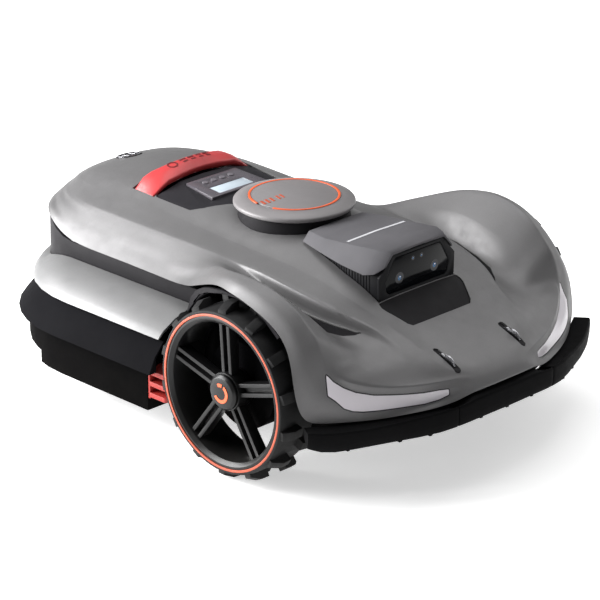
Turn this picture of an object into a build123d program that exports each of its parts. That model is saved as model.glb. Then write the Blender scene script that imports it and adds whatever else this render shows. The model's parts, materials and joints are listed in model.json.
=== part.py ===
from build123d import *
import os
from math import sin, cos, radians, pi, hypot, atan2, degrees

os.makedirs("parts", exist_ok=True)

# ---------------------------------------------------------------- driving dimensions (mm)
# Working frame: x = 0 over the drive axle, +X forward, +Y to the mower's left, z = 0 on the ground.
REAR_X, FRONT_X = -541.0, 253.0        # overall length
WHEEL_Z = 124.0                        # drive axle height
WHEEL_R = 124.0                        # over the tread lugs
WHEEL_IN, WHEEL_OUT = 222.0, 285.0     # |y| of the tyre's two faces
AXLE_R = 8.0
RIM_R = 99.0
WALL = 3.0                             # moulded cover thickness
ORIGIN_X = -(REAR_X + FRONT_X) / 2     # shift that puts the origin at the middle of the footprint
ANT_X, ANT_Z, ANT_R = -149.7, 290.4, 85.0
CASTER_X, CASTER_Y, CASTER_R, CASTER_TRAIL = -372.0, 120.0, 40.0, 22.0
DECK_X, DECK_R, CUT_Z = -62.0, 176.0, 44.0
DISC_R, BLADE_PIVOT_R = 112.0, 100.0
ROD_OFF, SCREW_OFF = 105.0, 150.0       # guide rods and lift screw stand outside the knives' sweep
STOP_TRAVEL, BUTTON_TRAVEL, BUMPER_TRAVEL = 4.0, 1.0, 6.0
CAM_X = 80.0                           # camera glass plane

made = {}


def keep(name, shape):
    """Record a finished node, moved so that the origin is under the middle of the footprint."""
    made[name] = Pos(ORIGIN_X, 0, 0) * shape


def mirror_y(shape):
    return mirror(shape, about=Plane.XZ)


def pair(*shapes):
    """The given solids and their mirror images as one group."""
    out = []
    for s in shapes:
        out += list(s.solids()) + list(mirror_y(s).solids())
    return Compound(out)


def tri(a, b, c):
    def d(p, q):
        return hypot(hypot(p[0] - q[0], p[1] - q[1]), p[2] - q[2])
    if min(d(a, b), d(b, c), d(a, c)) < 1e-4:
        return None
    ux, uy, uz = (b[i] - a[i] for i in range(3))
    vx, vy, vz = (c[i] - a[i] for i in range(3))
    n = hypot(hypot(uy * vz - uz * vy, uz * vx - ux * vz), ux * vy - uy * vx)
    if n < 1e-5:
        return None
    return Face(Wire.make_polygon([Vector(*a), Vector(*b), Vector(*c)], close=True))


def closed(tris):
    faces = [f for f in (tri(*t) for t in tris) if f is not None]
    s = Solid(Shell(faces))
    if s.volume < 0:
        s = Solid(Shell([f for f in (tri(t[0], t[2], t[1]) for t in tris) if f is not None]))
    return s


def quad(a, b, c, d):
    return [(a, b, c), (a, c, d)]


def fan(ring, flip=False):
    """Cap of a closed ring of points that all see its first point's strip partner."""
    n, out, i, j = len(ring), [], 0, len(ring) - 1
    # zig-zag between the two halves of the ring, so a thin strip-like ring stays inside itself
    left = True
    while j - i > 1:
        if left:
            out.append((ring[i], ring[i + 1], ring[j]))
            i += 1
        else:
            out.append((ring[i], ring[j - 1], ring[j]))
            j -= 1
        left = not left
    if flip:
        out = [(a, c, b) for a, b, c in out]
    return out


def tube(stations):
    """Solid swept through closed rings of equal point counts, with both ends capped.
    Each ring lists its outer run first and then its inner run back again."""
    out, n = [], len(stations[0])
    for s, t in zip(stations[:-1], stations[1:]):
        for k in range(n):
            m = (k + 1) % n
            out += quad(s[k], s[m], t[m], t[k])
    out += fan(stations[0], True) + fan(stations[-1])
    return closed(out)


def offset_in(poly, t):
    """Open (y, z) polyline moved t towards its underside; poly runs from +y to -y over the top."""
    out = []
    for i, p in enumerate(poly):
        a, b = poly[max(0, i - 1)], poly[min(len(poly) - 1, i + 1)]
        dy, dz = b[0] - a[0], b[1] - a[1]
        n = hypot(dy, dz) or 1
        out.append((p[0] - t * dz / n, p[1] + t * dy / n))
    return out


# ---------------------------------------------------------------- top cover section table
# x, then (|y|, z) of: centre, plateau, shoulder, rail inner edge, rail outer edge, side or pocket
# top, pocket floor, inner flank, fender crest, outer flank, lower lip.
SEC = [
    (-535, (0, 240), (10, 240), (20, 239), (30, 238), (38, 237), (42, 236), (46, 235), (50, 234), (54, 233), (58, 231), (60, 229)),
    (-530, (0, 247), (22, 247), (40, 245), (52, 243), (62, 239.5), (68, 238), (74, 236), (79, 234), (83, 232), (87, 230), (90, 228.5)),
    (-522, (0, 252.5), (35, 251.5), (57, 249), (70, 246), (83, 240.5), (90, 238), (96, 236), (101, 233.5), (106, 231), (111, 229), (115, 227.5)),
    (-508, (0, 258), (45, 256), (72, 252.5), (86, 249), (101, 241.5), (108, 239), (115, 236.5), (121, 234), (128, 231), (135, 228), (141, 225.5)),
    (-490, (0, 263.5), (45, 261.5), (80, 256.5), (98, 251), (117, 242.5), (124, 240), (132, 237), (140, 233.5), (147, 229.5), (154, 225), (159, 221.5)),
    (-462, (0, 269), (45, 267), (86, 260.5), (106, 254), (132, 243), (138, 240), (145, 236.5), (153, 232), (162, 226), (169, 219.5), (173, 214.5)),
    (-430, (0, 273.5), (45, 271.5), (89, 264), (110, 256), (142, 243.2), (147, 240), (154, 235), (162, 228.5), (171, 220.5), (178, 212.5), (182, 206)),
    (-400, (0, 276.5), (45, 274.5), (90, 266), (110, 257.5), (145, 243.5), (150, 239.5), (158, 233), (166, 226), (176, 217), (183, 209), (187.5, 203)),
    (-360, (0, 278.5), (45, 276.5), (90, 266.5), (108, 258.5), (145, 243), (150, 239), (158, 232.5), (166, 225.5), (176, 216.5), (184, 208.5), (190, 202.5)),
    (-300, (0, 273.5), (45, 272.5), (86, 263), (107, 254), (144, 241.8), (149, 238), (157, 231.5), (165, 225), (175, 216), (184, 208), (190, 202.5)),
    (-240, (0, 266.5), (45, 265.8), (78, 261), (106, 249), (142.5, 241), (148, 237), (156, 230.5), (164, 224), (174, 215.5), (184, 207.5), (190.5, 202)),
    (-192, (0, 263), (45, 262.5), (75, 259), (106, 246.5), (142, 240), (147, 236.5), (155, 230.5), (163, 224.5), (174, 216.5), (184, 208.5), (192, 202)),
    (-165, (0, 262), (45, 261.6), (75, 258.5), (106, 245), (142, 239.3), (147, 236.5), (154, 232.5), (162, 228), (172, 221.5), (186, 212), (197, 206)),
    (-140, (0, 262), (45, 261.6), (75, 258), (106, 244), (142.5, 238.6), (147, 237.2), (153, 236.3), (160, 235), (170, 232), (190, 222), (206, 214)),
    (-115, (0, 261.6), (45, 261.2), (75, 257), (106, 243.4), (143, 238), (147, 235.5), (156, 237), (166, 240), (178, 243.5), (202, 235), (221, 226)),
    (-90, (0, 260.5), (45, 260), (75, 255.5), (106, 242.6), (144, 237.2), (147.5, 230), (158, 231.5), (174, 240), (194, 251), (216, 246), (233, 237)),
    (-61, (0, 258), (45, 257.2), (75, 252.5), (106, 241.2), (145.5, 236.2), (149, 222), (161, 221.5), (188, 243), (216, 263), (231, 257), (242, 248.5)),
    (-31, (0, 254), (45, 253), (75, 248.5), (106, 239), (147, 233.6), (150.5, 214), (162, 212), (195, 246), (228, 271), (241, 264), (251, 255.5)),
    (0, (0, 247.5), (45, 246.5), (75, 243), (105, 235), (146, 229.5), (149.5, 208), (161, 205.5), (195, 245), (232, 274), (248, 267), (260, 256)),
    (41, (0, 236.5), (45, 235.8), (74, 233), (103.5, 225.5), (142, 222.8), (145.5, 202), (158, 198.5), (193, 236), (232, 270.5), (249, 261.5), (262.5, 247.5)),
    (70, (0, 224.5), (45, 224), (72, 222), (99.5, 216.5), (136, 216.8), (139.5, 199), (154, 195), (192, 228), (231.5, 261), (248, 251), (261.5, 235.5)),
    (100, (0, 208.5), (45, 208.2), (70, 207.8), (96, 206.5), (128, 208.5), (131, 196), (149, 191), (191, 217), (230, 243), (246.5, 231.5), (261, 212.5)),
    (114, (0, 200), (45, 200), (69, 200.3), (94, 201.5), (120.5, 202.5), (125, 193.5), (146, 187.5), (198, 211), (230, 230.5), (249, 214), (267.5, 193)),
    (120, (0, 196.5), (45, 196.5), (68, 197), (93.5, 199.5), (118, 199.5), (123, 191.5), (146, 186), (202, 207), (230, 224), (251.5, 205), (272.5, 182)),
    (124, (0, 194), (45, 194), (67, 194.5), (93, 198), (116.5, 197.8), (122.5, 190.5), (147, 185), (205, 203), (230, 218.5), (254, 196), (276.5, 162)),
    (128, (0, 191.5), (45, 191.5), (66.5, 192), (92.5, 196.6), (115.5, 196), (122, 189.6), (150, 184), (208, 198), (230.3, 208.5), (256.5, 183), (273.5, 121)),
    (132, (0, 189.5), (45, 189.5), (66, 190), (92, 195.2), (114.5, 194.3), (121.5, 188.6), (155, 182.5), (212, 191), (230.3, 196.5), (253.5, 170), (269, 118.3)),
    (137, (0, 187), (45, 187), (66, 187.5), (91.5, 193.6), (113.5, 192.2), (121, 187.3), (160, 180.5), (216, 182.5), (230, 181.2), (249, 156), (261.8, 117)),
    (144, (0, 184), (45, 184), (65.5, 184.5), (91, 191), (112, 189.2), (120, 185), (165, 177.5), (221.3, 175), (223.8, 168.6), (243, 148.5), (250.5, 115.8)),
    (152, (0, 181), (45, 181), (65, 181.5), (90, 188), (110.5, 186), (119.5, 182), (165, 174), (213, 168.6), (214.6, 159.6), (234, 146), (240.3, 115.4)),
    (160, (0, 178.2), (45, 178.2), (64.5, 178.8), (89, 184.5), (109.5, 182.2), (119, 179), (160, 171.5), (203, 163.4), (204.6, 153.5), (225.5, 138.5), (229.3, 115.1)),
    (170, (0, 175), (45, 175), (64, 175.5), (88, 181), (108, 178.2), (120, 175), (154, 167), (188.6, 157.6), (190.3, 148), (211, 128.5), (215.3, 115.4)),
    (178, (0, 172.3), (45, 172.3), (64, 172.6), (87, 177.2), (107, 174.2), (120, 170.5), (149, 162), (176.2, 154.6), (177.8, 145), (198, 125.8), (203.2, 115.4)),
    (188, (0, 169), (45, 169), (64, 169.1), (86, 172.4), (105, 168.6), (119, 164), (142, 157), (160, 152.4), (161.6, 143), (180, 125.2), (186.3, 115.2)),
    (198, (0, 165.2), (45, 165.2), (64, 165.2), (84, 167), (101, 162.5), (113, 157.8), (128, 153.5), (141, 150.7), (142.6, 141), (158.5, 124.9), (168.4, 116.4)),
    (207, (0, 162), (45, 162), (64, 161.8), (80, 161), (92, 157.4), (101, 154.4), (112, 151.9), (122.5, 149.9), (124.3, 140.2), (131.5, 123.4), (150, 117)),
    (214, (0, 159.2), (44, 159.2), (61, 158.6), (72, 156.6), (81, 154), (88, 152), (95, 150.2), (101, 148.8), (109, 140.4), (113.5, 124.6), (132.5, 117.9)),
    (220, (0, 156.8), (40, 156.6), (54, 155.4), (61, 154.2), (67, 152.8), (72, 151.6), (77, 150.4), (81, 149.3), (92, 140.4), (98.5, 127), (118.6, 118.3)),
    (226, (0, 154), (34, 153.6), (46, 152.8), (51, 152.3), (55, 151.8), (59, 151.2), (63, 150.6), (66.5, 149.9), (81, 140), (88, 130.5), (104, 119.2)),
    (232, (0, 150.8), (14, 150.7), (24, 150.5), (29, 150.4), (33, 150.2), (36.5, 149.9), (40, 149.5), (43.5, 148.8), (64, 140.2), (75, 132), (88.6, 121)),
    (238, (0, 145.5), (25, 145), (36, 144.2), (42, 143.4), (46, 142.6), (50, 141.6), (54, 140.4), (58, 139), (63, 136.6), (68, 133.2), (72.5, 129)),
    (242, (0, 140.5), (18, 140.3), (28, 139.8), (34, 139.3), (39, 138.6), (43, 137.8), (47, 136.8), (50.5, 135.7), (54, 134.5), (57, 133), (59.5, 131.4)),
    (246, (0, 135.8), (6, 135.7), (9, 135.6), (11, 135.5), (13, 135.3), (15, 135.1), (17, 134.9), (18.5, 134.7), (20, 134.4), (21, 134.1), (22, 133.7)),
]


def half_to_full(row):
    """(y, z) polyline from the left lip over the centre to the right lip."""
    pts = list(row[1:])
    return [p for p in reversed(pts)] + [(-p[0], p[1]) for p in pts[1:]]


def cover_shell():
    outer, inner = [], []
    for i, row in enumerate(SEC):
        full = half_to_full(row)
        x_in = row[0] + (WALL if i == 0 else 0) - (WALL if i == len(SEC) - 1 else 0)
        off = offset_in(full, WALL)
        # the lip keeps its height; only its thickness is taken inward
        lip = full[0]
        off[0] = (lip[0] - WALL * 0.85, lip[1])
        off[-1] = (-(lip[0] - WALL * 0.85), lip[1])
        outer.append([(row[0], y, z) for y, z in full])
        inner.append([(x_in, y, z) for y, z in off])
    out, n = [], len(outer[0])
    for i in range(len(outer) - 1):
        for k in range(n - 1):
            out += quad(outer[i][k], outer[i + 1][k], outer[i + 1][k + 1], outer[i][k + 1])
            out += quad(inner[i][k], inner[i][k + 1], inner[i + 1][k + 1], inner[i + 1][k])
        out += quad(outer[i][0], inner[i][0], inner[i + 1][0], outer[i + 1][0])
        out += quad(outer[i][-1], outer[i + 1][-1], inner[i + 1][-1], inner[i][-1])
    for e, flip in ((0, True), (-1, False)):
        o, p = outer[e], inner[e]
        a, b = fan(o + [], flip), fan(p + [], not flip)
        out += a + b
        q = quad(o[0], o[-1], p[-1], p[0])
        out += q if not flip else [(x, z, y) for x, y, z in q]
    return closed(out)


def prism(points, depth_dir, half):
    """Prism through a planar outline, reaching half its depth each way along depth_dir."""
    d = Vector(*depth_dir).normalized()
    w = Wire.make_polygon([Vector(*p) - d * half for p in points], close=True)
    return Solid.extrude(Face(w), d * (2 * half))


def plan_prism(pts, z0, z1):
    w = Wire.make_polygon([Vector(x, y, z0) for x, y in pts], close=True)
    return Solid.extrude(Face(w), Vector(0, 0, z1 - z0))


def mirror_pts(half):
    """Closed plan outline from its +y half, listed from rear to front."""
    return [(x, y) for x, y in half] + [(x, -y) for x, y in reversed(half)]


def cyl(r, x, y, z0, z1):
    return Pos(x, y, z0) * extrude(Circle(r), z1 - z0)


def ycyl(r, x, z, y0, y1):
    """Cylinder along Y between two y values."""
    return Pos(x, y0, z) * Rot(-90, 0, 0) * extrude(Circle(r), y1 - y0)


shell = cover_shell()

# ---------------------------------------------------------------- openings and inlays of the top cover
CONSOLE = [(-333.5, 93.5), (-266, 89), (-252, 76), (-231.5, 42), (-222, 39)]
console_cut = plan_prism(mirror_pts(CONSOLE), 235, 300)
console_in = plan_prism(mirror_pts([(-333.2, 93.1), (-266.2, 88.6), (-252.3, 75.7), (-231.8, 41.6), (-222.4, 38.6)]), 235, 300)
ant_cut = cyl(78.4, ANT_X, 0, 235, 300)
stop_cut = Pos((-379 - 333.5) / 2, 0, 265) * Box(45.5, 190, 90)
# camera well and the dark apron in front of it
well_cut = plan_prism(mirror_pts([(-46, 63), (20, 72.6), (83.3, 74)]), 190, 290)
APRON = [(83.4, 75.5), (92, 77.5), (99, 75.5), (124, 62), (129, 56), (129, 50)]
apron_cut = plan_prism(mirror_pts(APRON), 180, 240)
apron_in = plan_prism(mirror_pts([(83.7, 75.1), (92, 77.1), (98.8, 75.1), (123.7, 61.7), (128.6, 55.8), (128.6, 50)]), 180, 240)
# contact slots: stadium recesses lying along the sloping nose
SLOT_X, SLOT_Y, SLOT_Z, SLOT_A = 197.5, 64.0, 165.4, 20.4
slot_loc = Pos(SLOT_X, -SLOT_Y, SLOT_Z) * Rot(0, SLOT_A, 0)
slot_cut = slot_loc * Pos(0, 0, -12) * extrude(SlotOverall(50.5, 9.6), 24)
# headlight outline in the plane that faces forward, right and up
LAMP_N = tuple(v / hypot(hypot(0.6574, 0.6551), 0.3723) for v in (0.6574, -0.6551, 0.3723))
LAMP = [(223, -86, 139.5), (218, -100, 140.6), (209, -120, 140), (199, -140, 141), (189, -160, 143), (176.6, -180, 145),
        (164, -200, 151), (154, -212, 158), (146, -222, 167), (137.5, -231, 181), (149, -238, 151.5), (155, -230, 143.8),
        (163.4, -222, 133), (169.5, -212, 128), (176.6, -200, 125.7), (188, -180, 125), (197.5, -160, 124.8),
        (204.3, -140, 123.7), (211, -120, 122.8), (219, -100, 125.5), (226, -88, 131)]
rain_loc = Pos(-491.5, 0, 262.3) * Rot(0, -13.5, 0)
rain_cut = rain_loc * Pos(0, 0, -14) * extrude(Circle(19.4), 30)
# dark inlays in the pockets between rail and fender
VENT = [(-85, 151), (-62, 150.8), (-30, 152.4), (0, 151.6), (40, 147.6), (70, 141.8), (98, 133.2), (105, 128), (101, 138), (90, 149), (71, 162), (40, 169), (0, 173), (-30, 171), (-60, 163), (-80, 155)]
vent_cut = plan_prism(VENT, 170, 232)


def flatten(points):
    """Project the outline onto the plane through its middle, square to LAMP_N."""
    c = [sum(p[i] for p in points) / len(points) for i in range(3)]
    out = []
    for p in points:
        s = sum((p[i] - c[i]) * LAMP_N[i] for i in range(3))
        out.append(tuple(p[i] - s * LAMP_N[i] for i in range(3)))
    return out


lamp_cut = prism(flatten(LAMP), LAMP_N, 62)

console = Pos(0, 0, -1.0) * (shell & console_in)
apron = shell & apron_in
lamp = shell & lamp_cut
vent = shell & vent_cut
cover = shell
for c in (console_cut, ant_cut, stop_cut, well_cut, apron_cut, slot_cut, mirror_y(slot_cut), lamp_cut, mirror_y(lamp_cut),
          rain_cut, vent_cut, mirror_y(vent_cut)):
    cover = cover - c


def biggest(shape):
    return max(shape.solids(), key=lambda s: s.volume)


cover = biggest(cover)
console, apron, lamp, vent = biggest(console), biggest(apron), biggest(lamp), biggest(vent)
ant_gap = cyl(79.2, ANT_X, 0, 230, 300)
console = biggest(console - ant_gap)

# ---------------------------------------------------------------- control panel
PAD_LOC = Pos(-288, 0, 271.4) * Rot(0, 4.65, 0)          # keypad plane, falling gently forward
pad_out = Wire.make_polygon([Vector(-30, -47.5, 0), Vector(29.5, -53, 0), Vector(29.5, 53, 0), Vector(-30, 47.5, 0)], close=True)
pad_solid = PAD_LOC * Pos(0, 0, -4) * extrude(Face(pad_out), 5.2)
lcd_cut = PAD_LOC * Pos(12.6, 0, -1.2) * Box(21.6, 65.6, 8)
lcd = PAD_LOC * Pos(12.6, 0, 0.1) * Box(21.0, 65.0, 1.6)
BUTTON_Y = (-24.6, -8.2, 8.2, 24.6)
BUTTON_X = -15.5
button_hole = [PAD_LOC * Pos(BUTTON_X, y, -8) * extrude(Circle(4.9), 16) for y in BUTTON_Y]
keypad = pad_solid - lcd_cut
for h in button_hole:
    keypad = keypad - h
keypad = biggest(keypad)
console = console - (PAD_LOC * Pos(0, 0, -12) * extrude(Face(Wire.make_polygon(
    [Vector(-30.3, -47.8, 0), Vector(29.8, -53.3, 0), Vector(29.8, 53.3, 0), Vector(-30.3, 47.8, 0)], close=True)), 30))
console = biggest(console)
keep("console_panel", console)
keep("keypad_panel", keypad)
keep("display_window", lcd)
for name, y in zip(("button_power", "button_home", "button_start", "button_ok"), BUTTON_Y):
    b = PAD_LOC * Pos(BUTTON_X, y, -1.9) * extrude(Circle(4.5), 4.3)
    keep(name, fillet(b.edges().sort_by(Axis.Z)[-1], 0.8))

# ---------------------------------------------------------------- stop bar
STOP = [  # |y|, back (x, z), crown (x, z), front (x, z), underside depth
    (93, (-377, 264.0), (-357, 263.5), (-338, 260.5), 8),
    (86, (-377, 270.0), (-356, 269.0), (-337, 265.5), 10),
    (78, (-376, 278.5), (-355, 278.0), (-335.6, 272.0), 13),
    (64, (-374, 284.5), (-353, 284.0), (-335, 279.0), 15),
    (34, (-368, 291.0), (-351, 289.0), (-338, 282.0), 15),
    (12, (-364, 294.2), (-350, 291.6), (-340, 283.0), 15),
]


def stop_ring(y, b, c, f, d):
    return [(b[0], y, b[1] - 2.5), (b[0] + 3, y, b[1]), (c[0], y, c[1]), (f[0] - 2.5, y, f[1] + 1.5), (f[0], y, f[1]),
            (f[0] - 2, y, f[1] - 7), (c[0] + 6, y, c[1] - d - 3), (c[0] - 6, y, c[1] - d - 3), (b[0] + 4, y, b[1] - d - 3), (b[0] + 1, y, b[1] - d)]


stations = [stop_ring(y, b, c, f, d) for y, b, c, f, d in STOP]
stations += [[(p[0], -p[1], p[2]) for p in s] for s in reversed(stations)]
keep("stop_button", tube(stations))

# ---------------------------------------------------------------- antenna
neck = cyl(78, ANT_X, 0, 244, 277) - cyl(74, ANT_X, 0, 240, 273)
keep("antenna_neck", neck)
disc_profile = make_face(Polyline((0, 277.0), (ANT_R - 2.5, 277.0), (ANT_R, 279.0), (ANT_R, 282.5), (ANT_R - 2.0, 284.6),
                                  (64.2, 289.6), (64.2, 287.6), (60.6, 287.6), (60.6, 290.0), (0, 291.0), close=True))
disc = Pos(ANT_X, 0, 0) * revolve(Plane.XZ * disc_profile, Axis.Z)
keep("antenna_disc", disc)
ring = cyl(64.1, ANT_X, 0, 287.7, 290.4) - cyl(60.7, ANT_X, 0, 280, 300)
ring = ring - Pos(ANT_X, 0, 289) * Rot(0, 0, -86) * Pos(62, 0, 0) * Box(16, 29, 6)
keep("antenna_ring", ring)

# ---------------------------------------------------------------- camera module
HOOD = [  # x, top corner (|y|, z), low edge (|y|, z)
    (-70, (52, 271), (64, 258.5)), (-30, (61, 273), (74, 257)), (20, (62, 277.5), (81.5, 253.5)),
    (61, (61, 282), (82.5, 250.5)), (76, (56, 281), (77, 253.5)), (85, (51, 279.5), (66, 262.5)),
]


def hood_ring(x, t, l):
    return [(x, l[0], l[1]), (x, t[0], t[1]), (x, 0, t[1] + 1.2), (x, -t[0], t[1]), (x, -l[0], l[1]),
            (x, -l[0] + 3.4, l[1]), (x, -t[0] + 1.4, t[1] - 3), (x, 0, t[1] - 1.8), (x, t[0] - 1.4, t[1] - 3), (x, l[0] - 3.4, l[1])]


keep("camera_hood", tube([hood_ring(*h) for h in HOOD]))
HOUSE = [(-44, 61, 248, 46, 262), (-20, 65, 250, 54, 266), (20, 71, 250, 58, 272.5), (61, 72, 248, 57, 277), (79, 72, 250, 50, 273.5)]


def house_ring(x, y1, z1, y2, z2):
    zb = 236 if x < 0 else 208
    return [(x, y1, zb), (x, y1, z1), (x, y2, z2), (x, -y2, z2), (x, -y1, z1), (x, -y1, zb)]


house_out = tube([house_ring(*h) for h in HOUSE])
keep("camera_housing", house_out - Pos(62, 0, 243) * Box(34.2, 118, 46))


def yz_plate(pts, x0, x1):
    w = Wire.make_polygon([Vector(x0, y, z) for y, z in pts], close=True)
    return Solid.extrude(Face(w), Vector(x1 - x0, 0, 0))


GLASS = [(53.5, 221.5), (58, 225), (61.5, 238), (60, 243), (46.5, 266.5), (42, 270.5)]
FRAME = [(70, 214.5), (73, 219), (73.5, 249), (49.5, 274.5), (46, 275.3)]
glass_pts = [(y, z) for y, z in GLASS] + [(-y, z) for y, z in reversed(GLASS)]
frame_pts = [(y, z) for y, z in FRAME] + [(-y, z) for y, z in reversed(FRAME)]
opening = [(y * 1.006 + (0.15 if y > 0 else -0.15), 246 + (z - 246) * 1.01) for y, z in glass_pts]
keep("camera_bezel", yz_plate(frame_pts, 79.2, 83.0) - yz_plate(opening, 78, 84))
keep("camera_glass", yz_plate(glass_pts, 80.6, 82.4))
lenses = []
for y, z, r in ((-34, 239.7, 8.5), (34, 239.7, 8.5), (-8.2, 261, 3.2), (8.2, 261, 3.2)):
    lenses.append(Pos(60, y, z) * Rot(0, 90, 0) * extrude(Circle(r), 20) if r > 5 else Pos(70, y, z) * Rot(0, 90, 0) * extrude(Circle(r), 10))
board = Pos(58.9, 0, 243) * Box(2.0, 100, 40)
keep("camera_lenses", Compound([s for l in lenses for s in l.solids()] + list(board.solids())))
keep("camera_apron", apron)

# ---------------------------------------------------------------- cover and its small parts
keep("top_cover", cover)
keep("headlights", pair(lamp))
keep("vent_inserts", pair(vent))
rain = rain_loc * Pos(0, 0, -4) * extrude(Circle(19), 5)
e1 = rain_loc * Pos(0, 0, 1.0) * (extrude(Circle(17.5), 1.0) - extrude(Circle(15.5), 1.0))
e2 = rain_loc * Pos(0, -6, 1.5) * Box(16, 3, 1.0)
e3 = rain_loc * Pos(0, 6, 1.5) * Box(16, 3, 1.0)
keep("rain_sensor", rain)
keep("rain_electrodes", Compound(list(e1.solids()) + list(e2.solids()) + list(e3.solids())))
holder = slot_loc * Pos(0, 0, -5.5) * (extrude(SlotOverall(49.9, 9.0), 4.0) - Pos(0, 0, 2) * Box(31, 3.4, 8))
blade = slot_loc * (Pos(0, 0, -2.25) * Box(30.5, 3.0, 6.5) + Pos(0, 0, 3.35) * Box(30.5, 2.4, 4.7))
keep("contact_holders", pair(holder))
keep("contact_blades", pair(blade))


# ---------------------------------------------------------------- lower body around the rear
def outline(side_y, rear_x, radius, front_x, n=9):
    """Right-hand half outline from the front end of the side to the middle of the rear."""
    pts = []
    bend = rear_x + radius
    for k in range(4):
        pts.append((front_x + (bend - front_x) * k / 4, side_y))
    for k in range(n + 1):
        a = radians(90 * k / n)
        pts.append((bend - radius * sin(a), side_y - radius + radius * cos(a)))
    pts.append((rear_x, (side_y - radius) / 2))
    pts.append((rear_x, 0))
    return pts


def lerp(a, b, t):
    return a + (b - a) * t


def ring_wall(rows, front_x):
    """Solid whose cross-section corners follow the given rows: (side_y, rear_x, radius, z_side, z_rear)."""
    lines = []
    for side_y, rear_x, radius, z_side, z_rear in rows:
        o = outline(side_y, rear_x, radius, front_x)
        line = []
        for k, (x, y) in enumerate(o):
            t = min(1.0, max(0.0, (k - 4) / 5.0))
            t = t * t * (3 - 2 * t)
            line.append((x, -y, lerp(z_side, z_rear, t)))
        lines.append(line + [(x, -y, z) for x, y, z in reversed(line[:-1])])
    return tube([[line[i] for line in lines] for i in range(len(lines[0]))])


# dark band under the cover: near-vertical wall, taller across the rear
band = ring_wall([(188.4, -530.5, 125, 175.6, 150.5), (187.2, -530.5, 125, 201.2, 222),
                  (183.6, -527, 122, 201.2, 222), (184.8, -527, 122, 175.6, 150.5)], -135)
keep("side_band", band)
# pale lower fairing: shelf that slopes outward and down
fairing = ring_wall([(188.9, -531, 125.4, 178.4, 153.0), (224, -535, 160, 168.5, 150.5), (246, -536, 185, 156.5, 147.0), (256, -536.5, 197, 146.5, 142.5),
                     (253.2, -533.5, 195, 145.5, 141.5), (243.6, -533, 183, 153.5, 144.2), (222.8, -532, 159, 165.2, 147.2), (188.9, -531, 125.4, 174.8, 149.6)], -152)
wheel_cut = ycyl(150, 0, WHEEL_Z, -320, 320)
fairing = biggest(fairing - wheel_cut)
keep("lower_fairing", fairing)
# dark skirt below the fairing, flaring to its lower edge
skirt = ring_wall([(248.5, -528, 192, 143.2, 139.6), (257, -529, 198, 133, 131), (265, -533, 200, 124, 122), (276, -541, 190, 101.2, 101.2),
                   (262.4, -530.4, 181, 101.2, 101.2), (262.4, -530.4, 181, 104.4, 104.4), (261.8, -530, 196, 122, 120), (254, -526, 195, 131.6, 129), (245.5, -525, 189, 141.8, 138.4)], -149)
keep("rear_skirt", biggest(skirt - ycyl(143, 0, WHEEL_Z, -320, 320)))

# ---------------------------------------------------------------- chassis tub
rear_half = [(-168, 262)] + [(x, y) for x, y in outline(262, -530, 182, -168)[1:-1]]
rear_plan = [(x, y) for x, y in rear_half] + [(x, -y) for x, y in reversed(rear_half)]
inner_half = [(-172, 258)] + [(x, y) for x, y in outline(258, -526, 178, -172)[1:-1]]
inner_plan = [(x, y) for x, y in inner_half] + [(x, -y) for x, y in reversed(inner_half)]
tub = plan_prism(rear_plan, 40, 104) - plan_prism(inner_plan, 30, 100)
# the skirt wall steps up towards the rear, and the deck bay stays open
tub = tub - Pos(-470, 0, 30) * Box(140, 600, 56) - Pos(-422, 0, 30) * Box(44, 600, 36)
tub = tub - Pos(-165, 0, 69.9) * Box(20, 392, 59.9)
mid = plan_prism([(-170, 200), (150, 200), (150, -200), (-170, -200)], 100, 104)
walls = [Pos(-9, s * 198, 81) * Box(318, 4, 38) for s in (-1, 1)]
FRONT = [(146, 205), (147, 216), (150, 216), (160, 200), (176, 166), (189, 136), (200, 108), (205, 92), (212, 75), (220, 50), (222, 0)]
FRONT_IN = [(142, 201), (143, 212), (148, 212), (156, 197), (172, 164), (185, 134), (196, 106), (201, 90), (208, 74), (216, 49), (218, 0)]
nose = plan_prism(FRONT + [(x, -y) for x, y in reversed(FRONT[:-1])], 98, 110)
nose = nose - plan_prism(FRONT_IN + [(x, -y) for x, y in reversed(FRONT_IN[:-1])], 102, 130)
tub = tub + mid + walls[0] + walls[1] + nose
tub = tub - cyl(46, DECK_X, 0, 90, 110)
for s in (-1, 1):
    tub = tub + cyl(20, CASTER_X, s * CASTER_Y, 96, 116)
    tub = tub - cyl(8.05, CASTER_X, s * CASTER_Y, 90, 120)
    for dx in (-ROD_OFF, ROD_OFF):
        tub = tub - cyl(6.06, DECK_X + dx, s * ROD_OFF, 90, 120)
tub = tub - cyl(7, DECK_X - SCREW_OFF, 0, 90, 120)
tub = biggest(tub)
keep("chassis_tub", tub)

# ---------------------------------------------------------------- wheel wells
WELL = [(AXLE_R + 0.02, 202), (118, 202), (118, 216.5), (131, 216.5), (131, 240), (128.6, 240), (128.6, 219.5),
        (115, 219.5), (115, 205), (AXLE_R + 0.02, 205)]
well = Pos(0, 0, WHEEL_Z) * revolve(Plane.XY * make_face(Polyline(*WELL, close=True)), Axis.Y)
well = well - Pos(0, 220, -20) * Box(300, 80, 250) - Pos(0, 230, 105) * Box(300, 27, 60)
keep("wheel_wells", pair(biggest(well)))

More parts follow.
